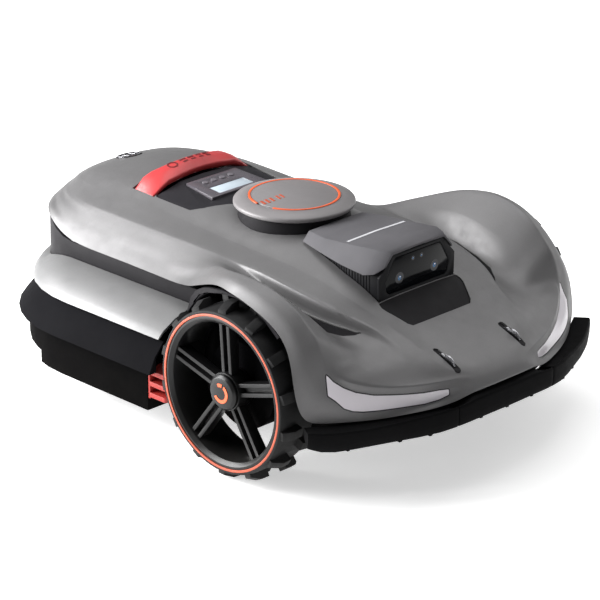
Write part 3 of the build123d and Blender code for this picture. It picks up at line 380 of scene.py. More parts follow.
# ------------------------------------------------------------------ top cover surface
SEC = [
    (-535, (0, 240), (10, 240), (20, 239), (30, 238), (38, 237), (42, 236), (46, 235), (50, 234), (54, 233), (58, 231), (60, 229)),
    (-530, (0, 247), (22, 247), (40, 245), (52, 243), (62, 239.5), (68, 238), (74, 236), (79, 234), (83, 232), (87, 230), (90, 228.5)),
    (-522, (0, 252.5), (35, 251.5), (57, 249), (70, 246), (83, 240.5), (90, 238), (96, 236), (101, 233.5), (106, 231), (111, 229), (115, 227.5)),
    (-508, (0, 258), (45, 256), (72, 252.5), (86, 249), (101, 241.5), (108, 239), (115, 236.5), (121, 234), (128, 231), (135, 228), (141, 225.5)),
    (-490, (0, 263.5), (45, 261.5), (80, 256.5), (98, 251), (117, 242.5), (124, 240), (132, 237), (140, 233.5), (147, 229.5), (154, 225), (159, 221.5)),
    (-462, (0, 269), (45, 267), (86, 260.5), (106, 254), (132, 243), (138, 240), (145, 236.5), (153, 232), (162, 226), (169, 219.5), (173, 214.5)),
    (-430, (0, 273.5), (45, 271.5), (89, 264), (110, 256), (142, 243.2), (147, 240), (154, 235), (162, 228.5), (171, 220.5), (178, 212.5), (182, 206)),
    (-400, (0, 276.5), (45, 274.5), (90, 266), (110, 257.5), (145, 243.5), (150, 239.5), (158, 233), (166, 226), (176, 217), (183, 209), (187.5, 203)),
    (-360, (0, 278.5), (45, 276.5), (90, 266.5), (108, 258.5), (145, 243), (150, 239), (158, 232.5), (166, 225.5), (176, 216.5), (184, 208.5), (190, 202.5)),
    (-300, (0, 273.5), (45, 272.5), (86, 263), (107, 254), (144, 241.8), (149, 238), (157, 231.5), (165, 225), (175, 216), (184, 208), (190, 202.5)),
    (-240, (0, 266.5), (45, 265.8), (78, 261), (106, 249), (142.5, 241), (148, 237), (156, 230.5), (164, 224), (174, 215.5), (184, 207.5), (190.5, 202)),
    (-192, (0, 263), (45, 262.5), (75, 259), (106, 246.5), (142, 240), (147, 236.5), (155, 230.5), (163, 224.5), (174, 216.5), (184, 208.5), (192, 202)),
    (-165, (0, 262), (45, 261.6), (75, 258.5), (106, 245), (142, 239.3), (147, 236.5), (154, 232.5), (162, 228), (172, 221.5), (186, 212), (197, 206)),
    (-140, (0, 262), (45, 261.6), (75, 258), (106, 244), (142.5, 238.6), (147, 237.2), (153, 236.3), (160, 235), (170, 232), (190, 222), (206, 214)),
    (-115, (0, 261.6), (45, 261.2), (75, 257), (106, 243.4), (143, 238), (147, 235.5), (156, 237), (166, 240), (178, 243.5), (202, 235), (221, 226)),
    (-90, (0, 260.5), (45, 260), (75, 255.5), (106, 242.6), (144, 237.2), (147.5, 230), (158, 231.5), (174, 240), (194, 251), (216, 246), (233, 237)),
    (-61, (0, 258), (45, 257.2), (75, 252.5), (106, 241.2), (145.5, 236.2), (149, 222), (161, 221.5), (188, 243), (216, 263), (231, 257), (242, 248.5)),
    (-31, (0, 254), (45, 253), (75, 248.5), (106, 239), (147, 233.6), (150.5, 214), (162, 212), (195, 246), (228, 271), (241, 264), (251, 255.5)),
    (0, (0, 247.5), (45, 246.5), (75, 243), (105, 235), (146, 229.5), (149.5, 208), (161, 205.5), (195, 245), (232, 274), (248, 267), (260, 256)),
    (41, (0, 236.5), (45, 235.8), (74, 233), (103.5, 225.5), (142, 222.8), (145.5, 202), (158, 198.5), (193, 236), (232, 270.5), (249, 261.5), (262.5, 247.5)),
    (70, (0, 224.5), (45, 224), (72, 222), (99.5, 216.5), (136, 216.8), (139.5, 199), (154, 195), (192, 228), (231.5, 261), (248, 251), (261.5, 235.5)),
    (100, (0, 208.5), (45, 208.2), (70, 207.8), (96, 206.5), (128, 208.5), (131, 196), (149, 191), (191, 217), (230, 243), (246.5, 231.5), (261, 212.5)),
    (114, (0, 200), (45, 200), (69, 200.3), (94, 201.5), (120.5, 202.5), (125, 193.5), (146, 187.5), (198, 211), (230, 230.5), (249, 214), (267.5, 193)),
    (120, (0, 196.5), (45, 196.5), (68, 197), (93.5, 199.5), (118, 199.5), (123, 191.5), (146, 186), (202, 207), (230, 224), (251.5, 205), (272.5, 182)),
    (124, (0, 194), (45, 194), (67, 194.5), (93, 198), (116.5, 197.8), (122.5, 190.5), (147, 185), (205, 203), (230, 218.5), (254, 196), (276.5, 162)),
    (128, (0, 191.5), (45, 191.5), (66.5, 192), (92.5, 196.6), (115.5, 196), (122, 189.6), (150, 184), (208, 198), (230.3, 208.5), (256.5, 183), (273.5, 121)),
    (132, (0, 189.5), (45, 189.5), (66, 190), (92, 195.2), (114.5, 194.3), (121.5, 188.6), (155, 182.5), (212, 191), (230.3, 196.5), (253.5, 170), (269, 118.3)),
    (137, (0, 187), (45, 187), (66, 187.5), (91.5, 193.6), (113.5, 192.2), (121, 187.3), (160, 180.5), (216, 182.5), (230, 181.2), (249, 156), (261.8, 117)),
    (144, (0, 184), (45, 184), (65.5, 184.5), (91, 191), (112, 189.2), (120, 185), (165, 177.5), (221.3, 175), (223.8, 168.6), (243, 148.5), (250.5, 115.8)),
    (152, (0, 181), (45, 181), (65, 181.5), (90, 188), (110.5, 186), (119.5, 182), (165, 174), (213, 168.6), (214.6, 159.6), (234, 146), (240.3, 115.4)),
    (160, (0, 178.2), (45, 178.2), (64.5, 178.8), (89, 184.5), (109.5, 182.2), (119, 179), (160, 171.5), (203, 163.4), (204.6, 153.5), (225.5, 138.5), (229.3, 115.1)),
    (170, (0, 175), (45, 175), (64, 175.5), (88, 181), (108, 178.2), (120, 175), (154, 167), (188.6, 157.6), (190.3, 148), (211, 128.5), (215.3, 115.4)),
    (178, (0, 172.3), (45, 172.3), (64, 172.6), (87, 177.2), (107, 174.2), (120, 170.5), (149, 162), (176.2, 154.6), (177.8, 145), (198, 125.8), (203.2, 115.4)),
    (188, (0, 169), (45, 169), (64, 169.1), (86, 172.4), (105, 168.6), (119, 164), (142, 157), (160, 152.4), (161.6, 143), (180, 125.2), (186.3, 115.2)),
    (198, (0, 165.2), (45, 165.2), (64, 165.2), (84, 167), (101, 162.5), (113, 157.8), (128, 153.5), (141, 150.7), (142.6, 141), (158.5, 124.9), (168.4, 116.4)),
    (207, (0, 162), (45, 162), (64, 161.8), (80, 161), (92, 157.4), (101, 154.4), (112, 151.9), (122.5, 149.9), (124.3, 140.2), (131.5, 123.4), (150, 117)),
    (214, (0, 159.2), (44, 159.2), (61, 158.6), (72, 156.6), (81, 154), (88, 152), (95, 150.2), (101, 148.8), (109, 140.4), (113.5, 124.6), (132.5, 117.9)),
    (220, (0, 156.8), (40, 156.6), (54, 155.4), (61, 154.2), (67, 152.8), (72, 151.6), (77, 150.4), (81, 149.3), (92, 140.4), (98.5, 127), (118.6, 118.3)),
    (226, (0, 154), (34, 153.6), (46, 152.8), (51, 152.3), (55, 151.8), (59, 151.2), (63, 150.6), (66.5, 149.9), (81, 140), (88, 130.5), (104, 119.2)),
    (232, (0, 150.8), (14, 150.7), (24, 150.5), (29, 150.4), (33, 150.2), (36.5, 149.9), (40, 149.5), (43.5, 148.8), (64, 140.2), (75, 132), (88.6, 121)),
    (238, (0, 145.5), (25, 145), (36, 144.2), (42, 143.4), (46, 142.6), (50, 141.6), (54, 140.4), (58, 139), (63, 136.6), (68, 133.2), (72.5, 129)),
    (242, (0, 140.5), (18, 140.3), (28, 139.8), (34, 139.3), (39, 138.6), (43, 137.8), (47, 136.8), (50.5, 135.7), (54, 134.5), (57, 133), (59.5, 131.4)),
    (246, (0, 135.8), (6, 135.7), (9, 135.6), (11, 135.5), (13, 135.3), (15, 135.1), (17, 134.9), (18.5, 134.7), (20, 134.4), (21, 134.1), (22, 133.7)),
]



def pchip(xs, ys, xq):
    """Smooth interpolation that doesn't overshoot its data."""
    xs, ys, xq = np.array(xs, float), np.array(ys, float), np.array(xq, float)
    h = np.diff(xs)
    d = np.diff(ys) / h
    m = np.zeros(len(xs))
    m[0], m[-1] = d[0], d[-1]
    for i in range(1, len(xs) - 1):
        if d[i - 1] * d[i] > 0:
            w1, w2 = 2 * h[i] + h[i - 1], h[i] + 2 * h[i - 1]
            m[i] = (w1 + w2) / (w1 / d[i - 1] + w2 / d[i])
    k = np.clip(np.searchsorted(xs, xq) - 1, 0, len(xs) - 2)
    t = (xq - xs[k]) / h[k]
    return (ys[k] * (1 + 2 * t) * (1 - t) ** 2 + h[k] * m[k] * t * (1 - t) ** 2
            + ys[k + 1] * t * t * (3 - 2 * t) + h[k] * m[k + 1] * t * t * (t - 1))


XS = [r[0] for r in SEC]
COLY = [[r[1 + c][0] for r in SEC] for c in range(11)]
COLZ = [[r[1 + c][1] for r in SEC] for c in range(11)]
xq = []
for a, b in zip(XS[:-1], XS[1:]):
    n = max(2, int(math.ceil((b - a) / 5.0)))
    xq += [a + (b - a) * i / n for i in range(n)]
xq.append(XS[-1])
xq = np.array(xq)
KY = np.array([pchip(XS, c, xq) for c in COLY])
KZ = np.array([pchip(XS, c, xq) for c in COLZ])
CREASE = {3, 4, 5, 7, 8, 9}


def step(x, a, c):
    t = max(0.0, min(1.0, (x - a) / (c - a)))
    return t * t * (3 - 2 * t)


def crease_weight(i, x):
    """How sharp knot i is at station x: rails fade out at the nose, the front lip and lens edges fade in there."""
    if i in (3, 4, 5):
        return 1 - step(x, 165, 212)
    if i == 7:
        return step(x, 134, 150)
    if i == 8:
        return step(x, -112, -70)
    if i == 9:
        return 0.0
    return 0.0


def smooth_along(rows, sigma):
    """Gaussian smoothing of knot tracks along x, ends held."""
    out = rows.copy()
    for c in range(rows.shape[0]):
        for k in range(len(xq)):
            d = xq - xq[k]
            reach = min(sigma, 0.45 * max(1e-6, min(xq[k] - xq[0], xq[-1] - xq[k])))
            if reach < 1.0:
                continue
            w = np.exp(-0.5 * (d / reach) ** 2)
            gap = np.gradient(xq)
            w = w * gap
            # local straight-line fit, so slopes stay and only wobble goes
            s0, s1, s2 = w.sum(), (w * d).sum(), (w * d * d).sum()
            t0, t1 = (w * rows[c]).sum(), (w * d * rows[c]).sum()
            det = s0 * s2 - s1 * s1
            out[c, k] = (t0 * s2 - t1 * s1) / det if abs(det) > 1e-9 else rows[c, k]
    return out


for c_ in range(11):
    s_ = 22.0 if c_ in (6, 7, 8) else 11.0
    wide_y, wide_z = smooth_along(KY[c_:c_ + 1], s_), smooth_along(KZ[c_:c_ + 1], s_)
    fine_y, fine_z = smooth_along(KY[c_:c_ + 1], 7.0), smooth_along(KZ[c_:c_ + 1], 7.0)
    w_ = np.array([step(x, 96, 134) for x in xq])
    KY[c_] = wide_y[0] * (1 - w_) + fine_y[0] * w_
    KZ[c_] = wide_z[0] * (1 - w_) + fine_z[0] * w_



def cross(knots, x):
    """Dense half polyline through 11 knots: smooth between creases, with each crease softened by a narrow chamfer."""
    k = [Vector(p) for p in knots]
    tan_in, tan_out = [None] * 11, [None] * 11
    for i in range(11):
        a = k[i] - k[i - 1] if i else k[1] - k[0]
        b = k[i + 1] - k[i] if i < 10 else k[10] - k[9]
        if i == 0:
            tan_in[i] = tan_out[i] = Vector((b.length, 0))
        elif i == 10:
            tan_in[i] = tan_out[i] = a
        else:
            la, lb = max(a.length, 1e-6), max(b.length, 1e-6)
            t = (a / la * lb + b / lb * la) / (la + lb)
            w = crease_weight(i, x)
            tan_in[i], tan_out[i] = (t * la).lerp(a, w), (t * lb).lerp(b, w)
    out = []
    counts = [6, 4, 4, 5, 3, 4, 6, 6, 6, 6]
    for i in range(10):
        seg = max((k[i + 1] - k[i]).length, 1e-6)
        lo = min(0.3, 1.1 / seg) * crease_weight(i, x) if i in CREASE else 0.0
        hi = 1 - min(0.3, 1.1 / seg) * crease_weight(i + 1, x) if (i + 1) in CREASE else 1.0
        if i in CREASE:
            lo = max(lo, 0.02)
        if (i + 1) in CREASE:
            hi = min(hi, 0.98)
        n = counts[i]
        for j in range(n + 1):
            if j == n and (i + 1) not in CREASE and i < 9:
                continue
            u = lo + (hi - lo) * j / n
            p = (k[i] * (2 * u ** 3 - 3 * u ** 2 + 1) + tan_out[i] * (u ** 3 - 2 * u ** 2 + u)
                 + k[i + 1] * (-2 * u ** 3 + 3 * u ** 2) + tan_in[i + 1] * (u ** 3 - u ** 2))
            out.append((p.x, p.y))
    return out


half_rows = [cross([(KY[c][i], KZ[c][i]) for c in range(11)], float(xq[i])) for i in range(len(xq))]
NH = len(half_rows[0])
full_rows = []
for i, h in enumerate(half_rows):
    full_rows.append([(xq[i], y, z) for y, z in reversed(h)] + [(xq[i], -y, z) for y, z in h[1:]])
NF = len(full_rows[0])
GRID = np.array(full_rows)               # stations x columns x 3


def grid_normals(g):
    du = np.gradient(g, axis=0)
    dv = np.gradient(g, axis=1)
    n = np.cross(du, dv)
    l = np.linalg.norm(n, axis=2, keepdims=True)
    n = n / np.maximum(l, 1e-9)
    flip = np.sign(n[:, :, 2:3])
    flip[flip == 0] = 1
    return n * flip


GN = grid_normals(GRID)


def shell_obj(name, thick=3.0, lift=0.0):
    """The cover surface as a closed shell; lift moves both skins outward."""
    S, C = GRID.shape[:2]
    outer = GRID + GN * lift
    inner = GRID + GN * (lift - thick)
    inner[:, 0] = outer[:, 0] + np.array([0, -thick * 0.9, 0])
    inner[:, -1] = outer[:, -1] + np.array([0, thick * 0.9, 0])
    inner[0, :, 0] = outer[0, :, 0] + thick
    inner[-1, :, 0] = outer[-1, :, 0] - thick
    verts = [tuple(v) for v in outer.reshape(-1, 3)] + [tuple(v) for v in inner.reshape(-1, 3)]
    k = S * C
    faces = []
    for i in range(S - 1):
        for j in range(C - 1):
            a = i * C + j
            faces.append((a, a + 1, a + C + 1, a + C))
            faces.append((k + a, k + a + C, k + a + C + 1, k + a + 1))
    for i in range(S - 1):
        for j in (0, C - 1):
            a = i * C + j
            faces.append((a, a + C, k + a + C, k + a))
    for i in (0, S - 1):
        ring = [i * C + j for j in range(C)]
        faces.append(ring)
        faces.append([k + r for r in reversed(ring)])
        faces.append((ring[0], ring[-1], k + ring[-1], k + ring[0]))
    me = bpy.data.meshes.new(name)
    me.from_pydata([tuple(P(*v)) for v in verts], [], faces)
    me.validate()
    o = bpy.data.objects.new(name, me)
    scene.collection.objects.link(o)
    finish_mesh(o, True)
    return o


def surf_z(x, y):
    """Height of the cover's outer skin at a plan point."""
    i = int(np.clip(np.searchsorted(xq, x), 1, len(xq) - 1))
    t = (x - xq[i - 1]) / (xq[i] - xq[i - 1])
    zz = []
    for r in (i - 1, i):
        ys = [abs(p[0]) for p in half_rows[r]]
        zs = [p[1] for p in half_rows[r]]
        zz.append(np.interp(abs(y), ys, zs))
    return zz[0] * (1 - t) + zz[1] * t


def plan(pts, z0, z1, name="cutter"):
    z = (z0 + z1) / 2
    return prism_obj([(x, y, z) for x, y in pts], (0, 0, 1), (z1 - z0) / 2, name)


def mirror_plan(half):
    return [(x, y) for x, y in half] + [(x, -y) for x, y in reversed(half)]


def circle(cx, cy, r, n=96):
    return [(cx + r * cos(2 * pi * i / n), cy + r * sin(2 * pi * i / n)) for i in range(n)]


def neg(pts):
    return [(x, -y) + tuple(r) for x, y, *r in pts]


CONSOLE = [(-333.5, 93.5), (-266, 89), (-252, 76), (-231.5, 42), (-222, 39)]
APRON = [(83.4, 75.5), (92, 77.5), (99, 75.5), (124, 62), (129, 56), (129, 50)]
VENT = [(-85, 151), (-62, 150.8), (-30, 152.4), (0, 151.6), (40, 147.6), (70, 141.8), (98, 133.2), (105, 128), (101, 138), (90, 149), (71, 162), (40, 169), (0, 173), (-30, 171), (-60, 163), (-80, 155)]
LAMP_N = Vector((0.6574, -0.6551, 0.3723)).normalized()
LAMP = [(223, -86, 139.5), (218, -100, 140.6), (209, -120, 140), (199, -140, 141), (189, -160, 143), (176.6, -180, 145),
        (164, -200, 151), (154, -212, 158), (146, -222, 167), (137.5, -231, 181), (149, -238, 151.5), (155, -230, 143.8),
        (163.4, -222, 133), (169.5, -212, 128), (176.6, -200, 125.7), (188, -180, 125), (197.5, -160, 124.8),
        (204.3, -140, 123.7), (211, -120, 122.8), (219, -100, 125.5), (226, -88, 131)]
ANT_X = -149.7
BAR = (4.6, 9.2, -55.0, 55.0)          # printed bar on the hood: x0, x1, y0, y1


def lamp_outline(t=0.0, r=3.0):
    """Rounded headlight outline in its own plane, moved inward by t."""
    c = sum((Vector(p) for p in LAMP), Vector()) / len(LAMP)
    ex = LAMP_N.orthogonal().normalized()
    ey = LAMP_N.cross(ex)
    flat = [((Vector(p) - c).dot(ex), (Vector(p) - c).dot(ey)) for p in LAMP]
    flat = rounded(flat, r, 4)
    if t:
        flat = shrink(flat, t)
    return [tuple(c + ex * u + ey * v) for u, v in flat]


def lamp_prism(t=0.0, side=1, half=62):
    pts = lamp_outline(t)
    d = LAMP_N.copy()
    if side > 0:
        pts = [(x, -y, z) for x, y, z in pts]
        d.y = -d.y
    return prism_obj(pts, d, half)


SLOT = (197.5, 64.0, 165.4, radians(20.4))


def slot_frame(side):
    """Matrix that takes slot-local millimetres (along, across, up) to the row frame in metres."""
    m = Matrix.Translation(P(SLOT[0], side * SLOT[1], SLOT[2])) @ Matrix.Rotation(SLOT[3], 4, "Y")
    return m @ Matrix.Scale(MM, 4)


def local_prism(m, pts, z0, z1, name="cutter"):
    n = len(pts)
    vs = [m @ Vector((x, y, z0)) for x, y in pts] + [m @ Vector((x, y, z1)) for x, y in pts]
    faces = [list(range(n))[::-1], [n + i for i in range(n)]] + [[i, (i + 1) % n, n + (i + 1) % n, n + i] for i in range(n)]
    me = bpy.data.meshes.new(name)
    me.from_pydata([tuple(v) for v in vs], [], faces)
    o = bpy.data.objects.new(name, me)
    scene.collection.objects.link(o)
    finish_mesh(o, False)
    return o


def stadium(length, width, n=10):
    r = width / 2
    a = length / 2 - r
    return ([(a + r * cos(t), r * sin(t)) for t in [(-0.5 + i / n) * pi for i in range(n + 1)]]
            + [(-a + r * cos(t), r * sin(t)) for t in [(0.5 + i / n) * pi for i in range(n + 1)]])


RAIN = Matrix.Translation(P(-491.5, 0, 262.3)) @ Matrix.Rotation(radians(-13.5), 4, "Y") @ Matrix.Scale(MM, 4)

cutters = [
    plan(rounded(mirror_plan(CONSOLE), 5), 225, 310), plan(circle(ANT_X, 0, 78.4), 225, 310),
    plan([(-379, -95), (-333.4, -95), (-333.4, 95), (-379, 95)], 225, 310),
    plan(mirror_plan([(-46, 63), (20, 72.6), (83.3, 74)]), 180, 310),
    plan(rounded(mirror_plan(APRON), 3), 170, 250),
    local_prism(slot_frame(-1), stadium(50.5, 9.6), -12, 12), local_prism(slot_frame(1), stadium(50.5, 9.6), -12, 12),
    lamp_prism(0, -1), lamp_prism(0, 1),
    local_prism(RAIN, circle(0, 0, 19.4, 48), -14, 16),
    plan(rounded(VENT, 5), 165, 236), plan(neg(rounded(VENT, 5)), 165, 236),
]
cover = shell_obj("top_cover_shell")
boolean(cover, cutters)
remove(cutters)
cover.data.shade_smooth()
cover.data.set_sharp_from_angle(angle=radians(38))
slots(cover, "cover")
settle(cover, "chassis", "top_cover")


def inlay(name, prisms, node, mat, lift=-0.4, thick=2.6):
    parts = []
    for c in prisms:
        o = shell_obj(name, thick, lift)
        boolean(o, [c], "INTERSECT")
        print("INLAY", name, len(o.data.polygons))
        parts.append(o)
    remove(prisms)
    bm = bmesh.new()
    for o in parts:
        bm.from_mesh(o.data)
    me = bpy.data.meshes.new(name)
    bm.to_mesh(me)
    bm.free()
    remove(parts)
    o = bpy.data.objects.new(name, me)
    scene.collection.objects.link(o)
    o.data.shade_smooth()
    o.data.set_sharp_from_angle(angle=radians(38))
    slots(o, mat)
    settle(o, "chassis", node)
    return o


inlay("headlight_liner", [lamp_prism(0.2, -1), lamp_prism(0.2, 1)], "headlights", "lamp_dark", -1.5, 1.6)
inlay("headlight_lens", [lamp_prism(1.5, -1), lamp_prism(1.5, 1)], None, "lens", -0.3, 1.0)


def draped(name, outlines, mat, node, lift=-0.8, thick=2.2, cell=3.5):
    """Plates that follow the cover surface inside plan outlines."""
    bm = bmesh.new()
    for outline in outlines:
        part = bmesh.new()
        part.faces.new([part.verts.new((x, y, 0)) for x, y in outline])
        for axis in (0, 1):
            lo, hi = min(p[axis] for p in outline), max(p[axis] for p in outline)
            n = int((hi - lo) / cell)
            for k in range(1, n + 1):
                co, no = [0, 0, 0], [0, 0, 0]
                co[axis], no[axis] = lo + (hi - lo) * k / (n + 1), 1
                bmesh.ops.bisect_plane(part, geom=part.verts[:] + part.edges[:] + part.faces[:], plane_co=co, plane_no=no)
        bmesh.ops.triangulate(part, faces=[f for f in part.faces if len(f.verts) > 4])
        for v in part.verts:
            v.co = P(v.co.x, v.co.y, surf_z(v.co.x, v.co.y) + lift)
        bmesh.ops.recalc_face_normals(part, faces=part.faces)
        if sum(f.normal.z for f in part.faces) < 0:
            bmesh.ops.reverse_faces(part, faces=part.faces)
        tmp = bpy.data.meshes.new("tmp")
        part.to_mesh(tmp)
        part.free()
        bm.from_mesh(tmp)
        bpy.data.meshes.remove(tmp)
    me = bpy.data.meshes.new(name)
    bm.to_mesh(me)
    bm.free()
    o = bpy.data.objects.new(name, me)
    scene.collection.objects.link(o)
    m = o.modifiers.new("thick", "SOLIDIFY")
    m.thickness = thick * MM
    m.offset = -1
    apply_mods(o)
    o.data.shade_smooth()
    o.data.set_sharp_from_angle(angle=radians(38))
    slots(o, mat)
    settle(o, "chassis", node)
    return o


V_IN = shrink(rounded(VENT, 5), 0.5)
draped("vent_inlays", [V_IN, neg(V_IN)], "dark", "vent_inserts", -1.0)
draped("apron_plate", [shrink(rounded(mirror_plan(APRON), 3), 0.5)], "dark", "camera_apron", -1.2)


for n_, m_ in (("stop_button", "red"), ("antenna_disc", "disc"), ("antenna_neck", "dark"),
               ("camera_hood", "hood"), ("camera_housing", "housing"), ("camera_bezel", "housing"), ("camera_glass", "glass"),
               ("console_panel", "console"), ("keypad_panel", "keypad"), ("display_window", "lcd"),
               ("side_band", "dark"), ("lower_fairing", "panel"), ("rear_skirt", "skirt"), ("chassis_tub", "chassis"), ("wheel_wells", "chassis"),
               ("bumper_center", "rubber"), ("bumper_left", "rubber"), ("bumper_right", "rubber"),
               ("wheel_scrapers", "scraper"), ("tyre_right", "tyre"), ("tyre_left", "tyre"), ("rim_right", "rim"), ("rim_left", "rim"),
               ("rim_ring_right", "orange"), ("rim_ring_left", "orange"), ("hub_cap_right", "rim"), ("hub_cap_left", "rim"),
               ("rain_sensor", "dark"), ("rain_electrodes", "steel"), ("contact_holders", "dark")):
    w = {"antenna_ring": 0.3, "display_window": 0.3, "rain_electrodes": 0.2, "contact_blades": 0.5, "rim_ring_right": 0.4, "rim_ring_left": 0.4,
         "tyre_right": 1.0, "tyre_left": 1.0, "camera_hood": 1.4, "stop_button": 1.6, "antenna_disc": 0.6}.get(n_, 0.7)
    refine(n_, m_, w)

# ------------------------------------------------------------------ fine detail
def piece(name, objs, mat, body, node=None, bev=0.0, sharp=38):
    bm = bmesh.new()
    for o in objs:
        bm.from_mesh(o.data)
    me = bpy.data.meshes.new(name)
    bm.to_mesh(me)
    bm.free()
    remove(objs)
    o = bpy.data.objects.new(name, me)
    scene.collection.objects.link(o)
    finish_mesh(o, False)
    if bev:
        bevel(o, bev, 2, 30)
        apply_mods(o)
    o.data.shade_smooth()
    o.data.set_sharp_from_angle(angle=radians(sharp))
    slots(o, mat)
    settle(o, body, node)
    return o


def arc_pts(r0, r1, a0, a1, n=24):
    outer = [(r1 * cos(radians(a0 + (a1 - a0) * k / n)), r1 * sin(radians(a0 + (a1 - a0) * k / n))) for k in range(n + 1)]
    inner = [(r0 * cos(radians(a0 + (a1 - a0) * k / n)), r0 * sin(radians(a0 + (a1 - a0) * k / n))) for k in range(n + 1)]
    return outer + inner[::-1]


# charging fins: a thin plate standing in each slot, its crest a low triangle with a hooked back end
FIN = [(-15.2, -5.5), (15.2, -5.5), (15.2, 0.2), (13.6, 1.2), (11.5, 3.6), (6.5, 6.3), (1.0, 7.0), (-1.6, 6.6), (-3.2, 4.8),
       (-4.6, 2.6), (-6.4, 2.0), (-8.4, 3.0), (-10.4, 3.0), (-11.6, 1.6), (-12.4, 0.4), (-15.2, -0.6)]
fins = []
for s in (-1, 1):
    m = slot_frame(s) @ Matrix.Rotation(radians(90), 4, "X")
    fins.append(local_prism(m, FIN, -1.25, 1.25))
piece("contact_fins", fins, "steel", "chassis", "contact_blades", bev=0.5)

# raised mark on the crown of the stop bar: octagon outline and short bars
STOP = [(93, (-377, 264.0), (-357, 263.5)), (86, (-377, 270.0), (-356, 269.0)), (78, (-376, 278.5), (-355, 278.0)),
        (64, (-374, 284.5), (-353, 284.0)), (34, (-368, 291.0), (-351, 289.0)), (12, (-364, 294.2), (-350, 291.6)), (0, (-364, 294.2), (-350, 291.6))]


def stop_pt(y, u, lift=0.0):
    a = abs(y)
    for p, q in zip(STOP[:-1], STOP[1:]):
        if q[0] <= a <= p[0]:
            t = (a - q[0]) / max(1e-6, p[0] - q[0])
            bx, bz = q[1][0] + (p[1][0] - q[1][0]) * t, q[1][1] + (p[1][1] - q[1][1]) * t
            cx, cz = q[2][0] + (p[2][0] - q[2][0]) * t, q[2][1] + (p[2][1] - q[2][1]) * t
            return (bx + 3 + (cx - bx - 3) * u, y, bz + (cz - bz) * u + lift)


def on_stop(yu):
    return prism_obj([stop_pt(y, u, 0.15) for y, u in yu], (0.15, 0, 1), 0.35)


marks = []
for y0 in (-22, -7, 8, 23):
    marks.append(on_stop([(y0, 0.12), (y0 + 10.5, 0.12), (y0 + 10.5, 0.36), (y0, 0.36)]))
    marks.append(on_stop([(y0 + 2.5, 0.62), (y0 + 10.5, 0.62), (y0 + 10.5, 0.86), (y0 + 2.5, 0.86)]))
for k in range(8):
    a0, a1 = radians(22.5 + 45 * k), radians(67.5 + 45 * k)
    marks.append(on_stop([(-36 + 8 * cos(a0), 0.5 + 0.56 * sin(a0)), (-36 + 8 * cos(a1), 0.5 + 0.56 * sin(a1)),
                          (-36 + 5.6 * cos(a1), 0.5 + 0.39 * sin(a1)), (-36 + 5.6 * cos(a0), 0.5 + 0.39 * sin(a0))]))
piece("stop_marks", marks, "red_dark", node_body["stop_button"])

# accent ring with its gap on the right-hand side, and slanted marks running in from the gap
ANT = Matrix.Translation(P(ANT_X, 0, 0)) @ Matrix.Scale(MM, 4)
piece("antenna_ring_fine", [local_prism(ANT, arc_pts(60.75, 64.0, -72.6, 260.8, 120), 287.7, 290.35)], "orange_bright", node_body["antenna_ring"],
      "antenna_ring", bev=0.3)
marks = []
for y0, w in ((-59, 4.2), (-50.5, 4.2), (-42, 4.2), (-30, 3.4), (-22.5, 3.4)):
    pts = [(ANT_X - 11.5, y0 + 3.5), (ANT_X - 11.5, y0 + 3.5 + w), (ANT_X + 1.5, y0 + w), (ANT_X + 1.5, y0)]
    marks.append(prism_obj([(x, y, 291.0 - hypot(x - ANT_X, y) / 60.6 + 0.02) for x, y in pts], (0, 0, 1), 0.28))
piece("antenna_marks", marks, "orange", node_body["antenna_disc"])

# orange arc on each hub cap
for side, s in (("right", -1), ("left", 1)):
    obj = []
    for a0, a1, r0, r1 in ((-150, 60, 9.0, 13.6), (78, 118, 9.0, 13.6)):
        pts = [(x, s * 284.5, 124 + z) for x, z in arc_pts(r0, r1, a0, a1)]
        obj.append(prism_obj(pts, (0, 1, 0), 0.65))
    piece("hub_mark_" + side, obj, "orange_bright", node_body["hub_cap_" + side])

# short printed dashes beside the keys
PAD = Matrix.Translation(P(-288, 0, 271.4)) @ Matrix.Rotation(radians(4.65), 4, "Y") @ Matrix.Scale(MM, 4)
obj = []
for y in (-24.6, -8.2, 8.2, 24.6):
    for x0, x1 in ((-25.2, -24.4),):
        obj.append(local_prism(PAD, [(x0, y - 4), (x1, y - 4), (x1, y + 4), (x0, y + 4)], 1.1, 1.35))
piece("keypad_dashes", obj, "button", node_body["keypad_panel"])

# camera module: ribs down both sides, printed bar on the hood, lens rings behind the window, with glowing irises and
# glowing white spots painted on as the lenses' reflection and highlights
HOUSE = [(-44, 61, 248), (-20, 65, 250), (20, 71, 250), (61, 72, 248), (79, 72, 250)]
ribs = []
for k in range(19):
    x = -34 + 5.4 * k
    for p, q in zip(HOUSE[:-1], HOUSE[1:]):
        if p[0] <= x <= q[0]:
            yy = p[1] + (q[1] - p[1]) * (x - p[0]) / (q[0] - p[0])
    z0 = 237.0 if x < 3 else 210.0
    for s in (-1, 1):
        pts = [(x - 1.0, s * (yy - 0.6)), (x + 1.0, s * (yy - 0.6)), (x + 0.6, s * (yy + 0.75)), (x - 0.6, s * (yy + 0.75))]
        ribs.append(plan(pts, z0, 248.5))
piece("housing_ribs", ribs, "housing", node_body["camera_housing"])
LENS = [(-34, 239.7, 8.0, 3.4), (34, 239.7, 8.0, 3.4), (-8.2, 261, 3.2, 1.2), (8.2, 261, 3.2, 1.2)]
rings, irises, glints = [], [], []
for y, z, r, r2 in LENS:
    m = Matrix.Translation(P(82.4, y, z)) @ Matrix.Rotation(radians(90), 4, "Y") @ Matrix.Scale(MM, 4)
    rings.append(local_prism(m, circle(0, 0, r, 40), -0.2, 0.12))
    irises.append(local_prism(m, circle(0, 0, r2, 32), 0.0, 0.2))
    glints.append(local_prism(m, circle(-r2 * 0.4, r2 * 0.25, r2 * 0.26, 20), 0.1, 0.28))
piece("lens_rings", rings, "lensdark", node_body["camera_glass"])
